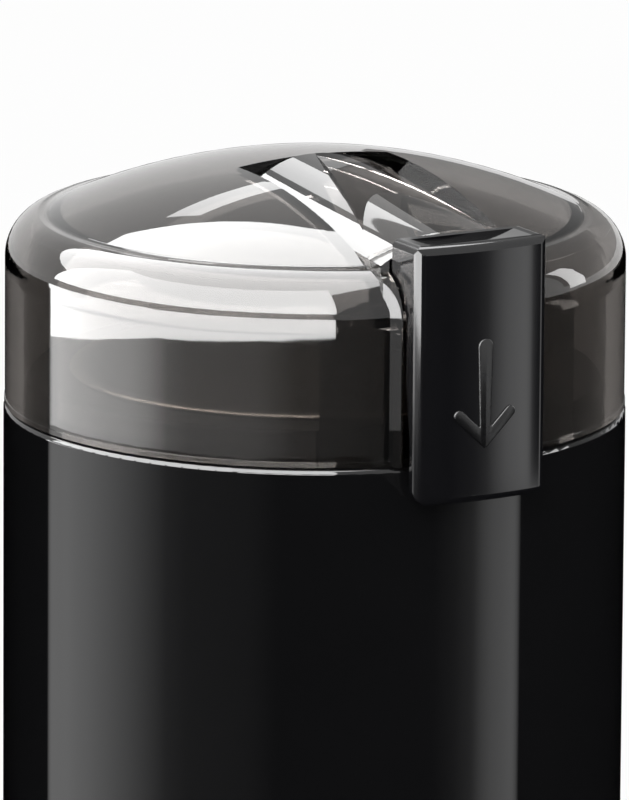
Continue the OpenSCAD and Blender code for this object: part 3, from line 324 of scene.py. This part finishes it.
def plated(name, tint):
    """Bright zinc plating: a slightly cloudy, bluish metal."""
    made, tree, place = start(name)
    cloud = add(tree, "ShaderNodeTexNoise", {"Scale": per_mm(1.6), "Detail": 4}, {"Vector": place})
    shader = add(tree, "ShaderNodeBsdfPrincipled", {"Metallic": 1}, {
        "Base Color": blended(tree, cloud.outputs["Fac"], shade(tint, 0.8), shade(tint, 1.1)),
        "Roughness": between(tree, cloud.outputs["Fac"], 0.24, 0.42),
        "Normal": relief(tree, cloud.outputs["Fac"], 0.01)})
    return close(made, shader.outputs["BSDF"])


def die_cast(name, tint):
    """Die-cast aluminium: a bright skin with fine grain and cold-flow marks."""
    made, tree, place = start(name)
    grain = add(tree, "ShaderNodeTexNoise", {"Scale": per_mm(0.5), "Detail": 4, "Roughness": 0.6},
                {"Vector": place})
    flow = add(tree, "ShaderNodeTexNoise", {"Scale": per_mm(9), "Detail": 3, "Distortion": 1.2},
               {"Vector": place})
    shader = add(tree, "ShaderNodeBsdfPrincipled", {"Metallic": 1}, {
        "Base Color": blended(tree, flow.outputs["Fac"], shade(tint, 0.8), shade(tint, 1.08)),
        "Roughness": between(tree, grain.outputs["Fac"], 0.38, 0.62),
        "Normal": relief(tree, grain.outputs["Fac"], 0.03)})
    return close(made, shader.outputs["BSDF"])


def laminated(name, tint):
    """A stack of half-millimetre sheets of electrical steel: dark lines between bluish edges."""
    made, tree, place = start(name)
    sheets = add(tree, "ShaderNodeTexWave", {"Scale": stripe(0.5), "Distortion": 0.3, "Detail": 1},
                 {"Vector": place}, wave_type="BANDS", bands_direction="Z")
    shader = add(tree, "ShaderNodeBsdfPrincipled", {"Metallic": 1}, {
        "Base Color": blended(tree, sheets.outputs["Fac"], shade(tint, 0.45), shade(tint, 1.1)),
        "Roughness": between(tree, sheets.outputs["Fac"], 0.6, 0.35),
        "Normal": relief(tree, sheets.outputs["Fac"], 0.06)})
    return close(made, shader.outputs["BSDF"])


def wound(name, tint, ways):
    """Layers of enamelled copper wire, half a millimetre thick, laid side by side under varnish."""
    made, tree, place = start(name)
    turns = add(tree, "ShaderNodeTexWave", {"Scale": stripe(0.5), "Distortion": 0.8, "Detail": 1,
                "Detail Scale": 0.4}, {"Vector": place}, wave_type=ways[0], **{ways[1]: ways[2]})
    shader = add(tree, "ShaderNodeBsdfPrincipled", {"Metallic": 0.85, "Coat Weight": 0.6,
                 "Coat Roughness": 0.12, "Coat IOR": 1.55}, {
        "Base Color": blended(tree, turns.outputs["Fac"], shade(tint, 0.35), shade(tint, 1.3)),
        "Roughness": between(tree, turns.outputs["Fac"], 0.5, 0.28),
        "Normal": relief(tree, turns.outputs["Fac"], 0.12)})
    return close(made, shader.outputs["BSDF"])


def waxy(name, tint, rough, depth):
    """Natural or dyed nylon and acetal: a soft sheen with light passing a little way in."""
    made, tree, place = start(name)
    cloud = add(tree, "ShaderNodeTexNoise", {"Scale": per_mm(2.5), "Detail": 3}, {"Vector": place})
    shader = add(tree, "ShaderNodeBsdfPrincipled", {"IOR": 1.53, "Subsurface Weight": depth,
                 "Subsurface Radius": (1, 0.9, 0.7), "Subsurface Scale": 0.001}, {
        "Base Color": blended(tree, cloud.outputs["Fac"], shade(tint, 0.9), shade(tint, 1.06)),
        "Roughness": between(tree, cloud.outputs["Fac"], rough - 0.06, rough + 0.06),
        "Normal": relief(tree, cloud.outputs["Fac"], 0.01)})
    return close(made, shader.outputs["BSDF"])


FINISHES = {}


def make_finishes(colours):
    """Makes the material of every slot of the record."""
    FINISHES.update({
        "gloss_black_shell": gloss_abs("Polished black ABS", colours.shell, 0.02, 0.0015),
        "black_moulding": eroded("Spark-eroded black ABS", colours.inner_black, 0.35, 0.5),
        "bowl_steel": spun_steel("Spun stainless steel", colours.bowl, 0.3, 0.22, 0.3),
        "soft_rubber": eroded("Moulded EPDM rubber", colours.rubber, 0.5, 0.78, 1.5),
        "zinc_screw": plated("Zinc-plated steel", colours.zinc),
        "cast_bracket": die_cast("Die-cast aluminium", colours.casting),
        "core_steel": laminated("Stacked electrical steel", colours.core),
        "enamelled_wire": wound("Enamelled copper wire", colours.wire,
                                ("BANDS", "bands_direction", "X")),
        "brown_moulding": eroded("Brown phenolic moulding", colours.phenolic, 0.6, 0.48, 1.6),
        "carbon": eroded("Pressed graphite", colours.carbon, 0.25, 0.62, 1.7),
        "spring_steel": strip_steel("Drawn spring steel", colours.spring, (1, 1, 0.05), 0.2, 0.22, 0.38),
        "bearing_steel": spun_steel("Ground bearing steel", colours.bearing, 0.25, 0.12, 0.24),
        "pale_moulding": eroded("Ivory polyester moulding", colours.pale, 0.5, 0.5, 1.57),
        "switch_case": eroded("Black thermoset moulding", colours.switch, 0.4, 0.42, 1.6),
        "terminal_brass": strip_steel("Stamped brass strip", colours.brass, (1, 1, 8), 0.3, 0.24, 0.4),
        "shaft_steel": spun_steel("Ground shaft steel", colours.shaft, 0.2, 0.14, 0.28),
        "commutator_copper": spun_steel("Turned copper", colours.copper, 0.3, 0.2, 0.36),
        "nylon": waxy("Natural nylon", colours.nylon, 0.42, 0.4),
        "blade_steel": strip_steel("Ground stainless strip", colours.blade, (8, 1, 1), 0.25, 0.16, 0.32),
        "hub_moulding": waxy("Black acetal", colours.hub, 0.34, 0),
        "smoke_clear": smoke_clear("Smoke-clear SAN", colours.smoke),
        "button_black": gloss_abs("Satin black ABS", colours.button, 0.08, 0.002),
        "pin_red": waxy("Red acetal", colours.pin, 0.3, 0.15),
    })
    missing = set(SLOT_OF.values()) - set(FINISHES)
    if missing:
        raise RuntimeError("no finish for " + ", ".join(sorted(missing)))


def dress(*names):
    """Gives CAD nodes the material of their slot."""
    for name in names:
        materials = frame["nodes"][name].data.materials
        for i in range(len(materials)):
            materials[i] = FINISHES[SLOT_OF[name]]
        if not materials:
            materials.append(FINISHES[SLOT_OF[name]])


def piece(name, bm, slot, body):
    """Turns a bmesh into a finished piece that rides on a body."""
    bmesh.ops.remove_doubles(bm, verts=bm.verts, dist=0.001 * MM)
    bmesh.ops.recalc_face_normals(bm, faces=bm.faces)
    mesh = bpy.data.meshes.new(name)
    bm.to_mesh(mesh)
    bm.free()
    for face in mesh.polygons:
        face.use_smooth = True
    made = bpy.data.objects.new(name, mesh)
    bpy.context.collection.objects.link(made)
    mesh.materials.append(FINISHES[slot])
    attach(made, body)
    return made


def helix(bm, radius, wire, low, high, turns, placed):
    """Winds a coil of round wire up the Z axis, between two heights, and then places it."""
    steps_each, sides = 24, 10
    steps = turns * steps_each
    ring = bmesh.ops.create_circle(bm, segments=sides, radius=wire,
                                   matrix=Matrix.Translation((radius, 0, low + wire))
                                   @ Matrix.Rotation(pi / 2, 4, "X"))["verts"]
    edges = list({edge for vert in ring for edge in vert.link_edges})
    rise = (high - low - 2 * wire) / steps
    bmesh.ops.spin(bm, geom=ring + edges, axis=(0, 0, 1), cent=(0, 0, 0), dvec=(0, 0, rise),
                   angle=2 * pi * turns, steps=steps)
    found = {vert for vert in bm.verts if not vert.tag}
    ends = {edge for vert in found for edge in vert.link_edges if edge.is_boundary}
    bmesh.ops.holes_fill(bm, edges=list(ends), sides=sides)
    bmesh.ops.transform(bm, matrix=placed, verts=list(found))
    for vert in bm.verts:
        vert.tag = True


# ---------- pieces ----------

class GRINDER_OT_body(bpy.types.Operator):
    """Finishes the gloss body, the deck, the base and what is set in them"""
    bl_idname = "grinder.body"
    bl_label = "Body"

    def execute(self, context):
        dress("outer_housing", "top_deck", "base_cover", "rubber_feet", "inlet_bush", "base_screws",
              "deck_screws", "bowl_gasket", "shaft_seal")
        return {"FINISHED"}


class GRINDER_OT_bowl(bpy.types.Operator):
    """Finishes the steel bowl, the blade and the blade's hub"""
    bl_idname = "grinder.bowl"
    bl_label = "Bowl and blade"

    def execute(self, context):
        dress("grinding_bowl", "grinding_blade", "blade_hub", "blade_washer")
        return {"FINISHED"}


class GRINDER_OT_lid(bpy.types.Operator):
    """Finishes the smoke-clear lid and its inner cover"""
    bl_idname = "grinder.lid"
    bl_label = "Lid"

    def execute(self, context):
        dress("lid_shell", "pocket_cover")
        return {"FINISHED"}


class GRINDER_OT_button(bpy.types.Operator):
    """Finishes the sliding button and the train of pieces that it works"""
    bl_idname = "grinder.button"
    bl_label = "Button and its train"

    def execute(self, context):
        dress("push_button", "button_retainer", "actuator_rod", "switch_lever", "switch_pin")
        return {"FINISHED"}


class GRINDER_OT_arrow(bpy.types.Operator):
    """Models the raised arrow on the button's face"""
    bl_idname = "grinder.arrow"
    bl_label = "Arrow"

    def execute(self, context):
        sizes = context.scene.grinder_sizes
        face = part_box("push_button")[0].y
        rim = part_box("outer_housing")[1].z
        half = sizes.arrow_stroke / 2
        reach = hypot(sizes.arrow_span, sizes.arrow_rise)
        way = Vector((sizes.arrow_span / reach, sizes.arrow_rise / reach))
        side = Vector((way.y, -way.x))
        point = Vector((0, sizes.arrow_tip + half / way.x))
        end = point + way * (reach + half)
        inner = point - side * half
        inner += way * ((sizes.arrow_neck - inner.x) / way.x)
        right = [end + side * half, end - side * half, inner,
                 Vector((sizes.arrow_head_end, sizes.arrow_top))]
        outline = [Vector((0, sizes.arrow_tip))] + right + [Vector((-p.x, p.y)) for p in reversed(right)]
        bm = bmesh.new()
        corners = [bm.verts.new((p.x, 0, rim + p.y)) for p in outline]
        bm.faces.new(corners)
        # Round ends of the two barbs and of the shaft, then the shallow rounds where they meet
        for picked, offset in (((1, 2, 7, 8), 0.98 * half), ((4, 5), 0.95 * sizes.arrow_head_end),
                               ((0, 3, 6), 0.35 * half)):
            bmesh.ops.bevel(bm, geom=[corners[i] for i in picked], offset=offset, affect="VERTICES",
                            segments=6, profile=0.5, material=-1)
        # Strips that let the flat arrow bend round the face
        for i in range(-6, 7):
            bmesh.ops.bisect_plane(bm, geom=bm.verts[:] + bm.edges[:] + bm.faces[:],
                                   plane_co=(i * half, 0, 0), plane_no=(1, 0, 0))
        raised = bmesh.ops.extrude_face_region(bm, geom=bm.faces[:])["geom"]
        bmesh.ops.translate(bm, verts=[g for g in raised if isinstance(g, bmesh.types.BMVert)],
                            vec=(0, -sizes.arrow_raise - ARROW_SUNK, 0))
        top = {g for g in raised if isinstance(g, bmesh.types.BMFace)}
        rim_edges = [e for f in top for e in f.edges if any(g not in top for g in e.link_faces)]
        bmesh.ops.bevel(bm, geom=rim_edges, offset=ARROW_EDGE, affect="EDGES", segments=2,
                        profile=0.5, material=-1)
        for vert in bm.verts:
            vert.co.y += face + FACE_RADIUS - sqrt(FACE_RADIUS ** 2 - vert.co.x ** 2) + ARROW_SUNK
        made = piece("button_arrow", bm, "button_black", "button")
        tint = shade(context.scene.grinder_colours.button, 0.7)
        made.data.materials[0] = eroded("Textured black ABS", tint, 0.3, 0.28)
        return {"FINISHED"}


class GRINDER_OT_springs(bpy.types.Operator):
    """Winds the button's, the rod's and the brushes' springs from round wire"""
    bl_idname = "grinder.springs"
    bl_label = "Springs"

    def execute(self, context):
        sizes = context.scene.grinder_sizes
        for node, wire, body, joint in (("button_spring", sizes.button_wire, "lid", "button_press"),
                                        ("rod_spring", sizes.rod_wire, "base", "rod_press")):
            low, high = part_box(node)
            middle = (low + high) / 2
            bm = bmesh.new()
            helix(bm, (high.x - low.x) / 2 - wire, wire, low.z, high.z, sizes.press_turns,
                  Matrix.Translation((middle.x, middle.y, 0)))
            made = piece("coiled_" + node, bm, "spring_steel", body)
            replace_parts(made, node)
            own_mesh(made)
        low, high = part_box("brush_springs")
        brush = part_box("carbon_brushes")[1].x
        middle = (low + high) / 2
        bm = bmesh.new()
        for side in (1, -1):
            helix(bm, (high.y - low.y) / 2 - sizes.brush_wire, sizes.brush_wire, brush + 0.05 * MM,
                  high.x, sizes.brush_turns, Matrix.Translation((0, middle.y, middle.z))
                  @ Matrix.Rotation(side * pi / 2, 4, "Y"))
        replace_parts(piece("coiled_brush_springs", bm, "spring_steel", "base"), "brush_springs")
        return {"FINISHED"}


class GRINDER_OT_motor(bpy.types.Operator):
    """Finishes the universal motor: cores, windings, brackets, bearings, brushes"""
    bl_idname = "grinder.motor"
    bl_label = "Motor"

    def execute(self, context):
        dress("motor_top_bracket", "motor_bottom_bracket", "motor_mounts", "motor_screws", "stator_core",
              "field_coils", "brush_holders", "carbon_brushes", "top_bearing", "bottom_bearing",
              "motor_shaft", "rotor_core", "armature_windings", "commutator", "thrust_washers")
        heads = wound("Wound armature heads", context.scene.grinder_colours.wire,
                      ("RINGS", "rings_direction", "Z"))
        frame["nodes"]["armature_windings"].data.materials[0] = heads
        return {"FINISHED"}


class GRINDER_OT_switch(bpy.types.Operator):
    """Finishes the microswitch, its terminals, its bracket and their screws"""
    bl_idname = "grinder.switch"
    bl_label = "Switch"

    def execute(self, context):
        dress("switch_bracket", "bracket_screws", "switch_body", "switch_terminals", "switch_screws")
        return {"FINISHED"}


# ---------- studio ----------

def staged(name, bm, material):
    """A stage object from a bmesh."""
    mesh = bpy.data.meshes.new(name)
    bm.to_mesh(mesh)
    bm.free()
    mesh.materials.append(material)
    made = bpy.data.objects.new(name, mesh)
    bpy.context.collection.objects.link(made)
    return made


def seen(tree):
    """1 for what the camera sees directly, in a mirror or through glass, and 0 for other rays."""
    ray = add(tree, "ShaderNodeLightPath")
    plain = add(tree, "ShaderNodeMath", None, {0: ray.outputs["Is Camera Ray"],
                1: ray.outputs["Is Glossy Ray"]}, operation="MAXIMUM")
    return add(tree, "ShaderNodeMath", None, {0: plain.outputs["Value"],
               1: ray.outputs["Is Transmission Ray"]}, operation="MAXIMUM").outputs["Value"]


def white_floor():
    """A pale paper floor: it takes the shadow and reads white, and is clear from below."""
    made, tree, place = start("White paper floor")
    paper = add(tree, "ShaderNodeTexNoise", {"Scale": per_mm(60), "Detail": 2}, {"Vector": place})
    matt = add(tree, "ShaderNodeBsdfDiffuse", None,
               {"Color": blended(tree, paper.outputs["Fac"], linear("#f1f1f0"), linear("#f5f5f4"))})
    glow = add(tree, "ShaderNodeEmission", {"Color": (1, 1, 1, 1), "Strength": 1})
    share = add(tree, "ShaderNodeMath", {1: FLOOR_WHITE}, {0: seen(tree)}, operation="MULTIPLY")
    lit = add(tree, "ShaderNodeMixShader", None, {"Fac": share.outputs["Value"],
              1: matt.outputs["BSDF"], 2: glow.outputs["Emission"]})
    clear = add(tree, "ShaderNodeBsdfTransparent")
    under = add(tree, "ShaderNodeNewGeometry")
    both = add(tree, "ShaderNodeMixShader", None, {"Fac": under.outputs["Backfacing"],
               1: lit.outputs["Shader"], 2: clear.outputs["BSDF"]})
    return close(made, both.outputs["Shader"])


def card_light(name, stops, strength):
    """A wrap of black card with soft lit panels. It shines by the angle round the object."""
    made, tree, place = start(name)
    spun = add(tree, "ShaderNodeMapping", {"Rotation": (0, 0, radians(90 - CAMERA_AZIMUTH))},
               {"Vector": place})
    angle = add(tree, "ShaderNodeTexGradient", None, {"Vector": spun.outputs["Vector"]},
                gradient_type="RADIAL")
    ramp = add(tree, "ShaderNodeValToRGB", None, {"Fac": angle.outputs["Fac"]})
    marks = ramp.color_ramp.elements
    while len(marks) > 1:
        marks.remove(marks[-1])
    for i, (turn, level) in enumerate(stops):
        mark = marks[0] if i == 0 else marks.new(turn / 360 + 0.5)
        mark.position = turn / 360 + 0.5
        mark.color = (level, level, level, 1)
    glow = add(tree, "ShaderNodeEmission", {"Strength": strength}, {"Color": ramp.outputs["Color"]})
    clear = add(tree, "ShaderNodeBsdfTransparent")
    ray = add(tree, "ShaderNodeLightPath")
    # Mirrored, the card is black. Seen through the lid, only its lit panels show
    through = add(tree, "ShaderNodeAddShader", None, {0: glow.outputs["Emission"],
                  1: clear.outputs["BSDF"]})
    mirrored = add(tree, "ShaderNodeMath", None, {0: ray.outputs["Is Glossy Ray"],
                   1: ray.outputs["Is Transmission Ray"]}, operation="SUBTRACT")
    mixed = add(tree, "ShaderNodeMixShader", None, {"Fac": mirrored.outputs["Value"],
                1: through.outputs["Shader"], 2: glow.outputs["Emission"]})
    return close(made, mixed.outputs["Shader"])


def panel_light(name, strength):
    """The even white cloth of a soft box."""
    made, tree, _ = start(name)
    glow = add(tree, "ShaderNodeEmission", {"Color": (1, 1, 1, 1), "Strength": strength})
    return close(made, glow.outputs["Emission"])


def only_mirrored(thing):
    """Leaves a card or a soft box to be seen in glossy surfaces and through glass alone."""
    thing.visible_camera = False
    thing.visible_diffuse = False
    thing.visible_shadow = False
    thing.visible_volume_scatter = False


def soft_lamp(name, spot, target, size, power):
    """A square soft lamp that lights matt surfaces and isn't mirrored."""
    data = bpy.data.lights.new(name, "AREA")
    data.size = size
    data.energy = power
    lamp = bpy.data.objects.new(name, data)
    bpy.context.collection.objects.link(lamp)
    lamp.location = spot
    lamp.rotation_euler = (Vector(target) - Vector(spot)).to_track_quat("-Z", "Y").to_euler()
    lamp.visible_glossy = False
    lamp.visible_transmission = False
    return lamp


def toward(turn, height):
    """Unit vector to an angle right of the camera, seen from the object, and a height in degrees."""
    a, e = radians(270 + CAMERA_AZIMUTH + turn), radians(height)
    return Vector((cos(a) * cos(e), sin(a) * cos(e), sin(e)))


def height_at(levels, turn):
    """A height that is one number, or is read off a list of angles and heights."""
    if isinstance(levels, float):
        return levels
    if turn <= levels[0][0]:
        return levels[0][1]
    for (left, low), (right, high) in zip(levels, levels[1:]):
        if turn <= right:
            return low + (high - low) * (turn - left) / (right - left)
    return levels[-1][1]


def bent_cards():
    """Cards and lit strips bent round the object, whose edges' heights follow the angle."""
    low_stops = ((-109, 0), (-108, 0.8), (-97, 1), (-86, 0.96), (-77, 0.81), (-68, 0.6), (-60, 0.37),
                 (-52, 0.14), (-44, 0.07), (-22, 0.045), (-12, 0), (42, 0), (50, 0.05), (57, 0.16),
                 (61, 0.45), (65, 0.65), (73, 0.85), (75.5, 0.8), (77, 0))
    high_stops = ((-109, 0), (-108, 1), (-86, 0.93), (-68, 0.8), (-60, 0.6), (-52, 0.25), (-44, 0.17),
                  (-20, 0.14), (-6, 0.04), (30, 0.01), (44, 0), (52, 0.02), (56, 0.06), (59, 0.17),
                  (63, 0.3), (69, 0.38), (71.5, 0.38), (73, 0))
    even = ((0, 1),)
    # Heights by angle: the seam between the two wraps, and the left strip's lower edge
    seam = ((-108, 0.0722), (-57, 0.0745), (0, 0.0757), (18, 0.0757), (30, 0.069), (180, 0.069))
    strip_foot = ((-109, 0.0882), (-57, 0.094), (8, 0.0968))
    # Name, radius, lower and upper edge, first and last angle, lit stops and strength
    for name, radius, low, high, first, last, stops, strength in (
            ("low_card", WRAP_RADIUS, 0.0002, seam, -180, 180, low_stops, 1.6),
            ("high_card", WRAP_RADIUS, seam, 0.125, -180, 180, high_stops, 4.3),
            ("left_strip", 0.305, strip_foot, 0.125, -108.5, 7, even, 12),
            ("left_curtain", 0.6, 0.185, 1.6, -108.5, 8, even, 13),
            ("right_strip", 0.45, 0.14, 0.4, 103, 113, even, 6),
            ("back_flag", 0.5, 0.175, 0.65, 100, 178, even, 0.3)):
        bm = bmesh.new()
        ends = [bm.verts.new(toward(first, 0) * radius + Vector((0, 0, z))) for z in (0, 1)]
        bmesh.ops.spin(bm, geom=ends + [bm.edges.new(ends)], axis=(0, 0, 1), cent=(0, 0, 0),
                       angle=radians(last - first), steps=CARD_STEPS)
        for vert in bm.verts:
            turn = degrees(atan2(vert.co.dot(toward(90, 0)), vert.co.dot(toward(0, 0))))
            vert.co.z = height_at(high if vert.co.z > 0.5 else low, turn)
        only_mirrored(staged(name, bm, card_light(name.replace("_", " ").capitalize(), stops, strength)))


def table_card():
    """A black card on the table, just above the floor, inside the wraps."""
    bm = bmesh.new()
    bmesh.ops.create_circle(bm, cap_ends=True, segments=128, radius=WRAP_RADIUS,
                            matrix=Matrix.Translation((0, 0, 0.5 * MM)))
    only_mirrored(staged("table_card", bm, card_light("Black card on the table", ((0, 0),), 1)))


def flat_cloth(facing, along, centre, half_length, half_width):
    """A bmesh of a flat rectangle: which way it faces, its long side, its centre and half sizes."""
    turn = Matrix((along, facing.cross(along), facing)).transposed().to_4x4()
    bm = bmesh.new()
    bmesh.ops.create_grid(bm, x_segments=1, y_segments=1, size=1,
                          matrix=Matrix.Translation(centre) @ turn
                          @ Matrix.Diagonal((half_length, half_width, 1, 1)))
    return bm


def soft_boxes():
    """The large soft box that the dome and the shoulder mirror, and a small one for the lid's ridge."""
    ahead, right, up = toward(0, 0), toward(90, 0), Vector((0, 0, 1))
    # Two planes through the lid bound the large one, and it reaches up and away from the first
    border = (ahead * -0.609 + right * 0.567 + up * -0.55).normalized()
    left_side = (ahead * -0.587 + right * -0.096 + up * -0.803).normalized()
    along = (ahead * -0.734 + right * -0.163 + up * 0.659).normalized()
    middle = (along - border).normalized()
    across = (along + border).normalized()
    bm = flat_cloth(middle, across.cross(middle), middle * BOX_DISTANCE - border * 0.025 + BOX_TARGET,
                    1.1, 0.9)
    bmesh.ops.bisect_plane(bm, geom=bm.verts[:] + bm.edges[:] + bm.faces[:], clear_outer=True,
                           plane_co=BOX_TARGET, plane_no=left_side)
    only_mirrored(staged("soft_box", bm, panel_light("Soft box cloth", 9)))

    facing = (ahead * -0.82 + right * -0.125 + up * 0.555).normalized()
    slope = ahead * -0.08 + right * 0.13 + up * -0.09
    slope = (slope - facing * slope.dot(facing)).normalized()
    bm = flat_cloth(facing, slope, facing * BOX_DISTANCE + BOX_TARGET, 0.095, 0.03)
    only_mirrored(staged("ridge_box", bm, panel_light("Small soft box cloth", 4.5)))


def white_room():
    """A world that gives soft light and reads white where it is seen."""
    world = bpy.data.worlds.new("White room")
    world.use_nodes = True
    tree = world.node_tree
    tree.nodes.clear()
    soft = add(tree, "ShaderNodeBackground", {"Color": (1, 1, 1, 1), "Strength": 0.7})
    white = add(tree, "ShaderNodeBackground", {"Color": (1, 1, 1, 1), "Strength": 1})
    mixed = add(tree, "ShaderNodeMixShader", None, {"Fac": seen(tree),
                1: soft.outputs["Background"], 2: white.outputs["Background"]})
    add(tree, "ShaderNodeOutputWorld", None, {"Surface": mixed.outputs["Shader"]})
    return world


def set_camera():
    """A camera with a long lens, a little above the object and left of the button."""
    data = bpy.data.cameras.new("camera")
    data.lens = CAMERA_LENS
    data.clip_start, data.clip_end = 0.1, 30
    camera = bpy.data.objects.new("camera", data)
    bpy.context.collection.objects.link(camera)
    back = toward(0, CAMERA_HEIGHT)
    camera.rotation_mode = "QUATERNION"
    tilt = Matrix.Rotation(radians(CAMERA_TILT), 3, "Z").to_quaternion()
    camera.rotation_quaternion = back.to_track_quat("Z", "Y") @ tilt
    camera.location = CAMERA_TARGET + back * CAMERA_DISTANCE
    return camera


class GRINDER_OT_stage(bpy.types.Operator):
    """Sets the floor, the soft boxes, the lamps, the world and the camera"""
    bl_idname = "grinder.stage"
    bl_label = "Studio"

    def execute(self, context):
        scene = context.scene
        scene.view_settings.view_transform = "Standard"

        bm = bmesh.new()
        bmesh.ops.create_circle(bm, cap_ends=True, segments=64, radius=FLOOR_RADIUS)
        staged("floor", bm, white_floor())

        bent_cards()
        table_card()
        soft_boxes()
        soft_lamp("key_lamp", (-1.2, -1.1, 1.5), (0, 0, 0.1), 1.2, 20)
        soft_lamp("fill_lamp", (1.5, -0.9, 1.0), (0, 0, 0.1), 1.2, 10)
        scene.world = white_room()
        scene.camera = set_camera()
        return {"FINISHED"}


class GRINDER_PT_panel(bpy.types.Panel):
    """Lists the grinder's sizes, colours and steps"""
    bl_idname = "GRINDER_PT_panel"
    bl_label = "Grinder"
    bl_space_type = "VIEW_3D"
    bl_region_type = "UI"
    bl_category = "Grinder"

    def draw(self, context):
        for group in (context.scene.grinder_sizes, context.scene.grinder_colours):
            box = self.layout.box()
            for name in group.__annotations__:
                box.prop(group, name)
        for step in STEPS:
            self.layout.operator(step.bl_idname)


STEPS = (GRINDER_OT_stage, GRINDER_OT_body, GRINDER_OT_bowl, GRINDER_OT_lid, GRINDER_OT_button,
         GRINDER_OT_arrow, GRINDER_OT_springs, GRINDER_OT_motor, GRINDER_OT_switch)
CLASSES = (GrinderSizes, GrinderColours, *STEPS, GRINDER_PT_panel)


def register():
    """Registers the classes and the scene's two groups of properties."""
    for kind in CLASSES:
        bpy.utils.register_class(kind)
    bpy.types.Scene.grinder_sizes = PointerProperty(type=GrinderSizes)
    bpy.types.Scene.grinder_colours = PointerProperty(type=GrinderColours)


def unregister():
    """Takes the properties and the classes away again."""
    del bpy.types.Scene.grinder_colours
    del bpy.types.Scene.grinder_sizes
    for kind in reversed(CLASSES):
        bpy.utils.unregister_class(kind)


def main():
    """Builds the studio and the grinder."""
    register()
    make_finishes(bpy.context.scene.grinder_colours)
    bpy.ops.grinder.stage()
    bpy.ops.grinder.body()
    bpy.ops.grinder.bowl()
    bpy.ops.grinder.lid()
    bpy.ops.grinder.button()
    bpy.ops.grinder.arrow()
    bpy.ops.grinder.springs()
    bpy.ops.grinder.motor()
    bpy.ops.grinder.switch()


if __name__ == "__main__":
    main()
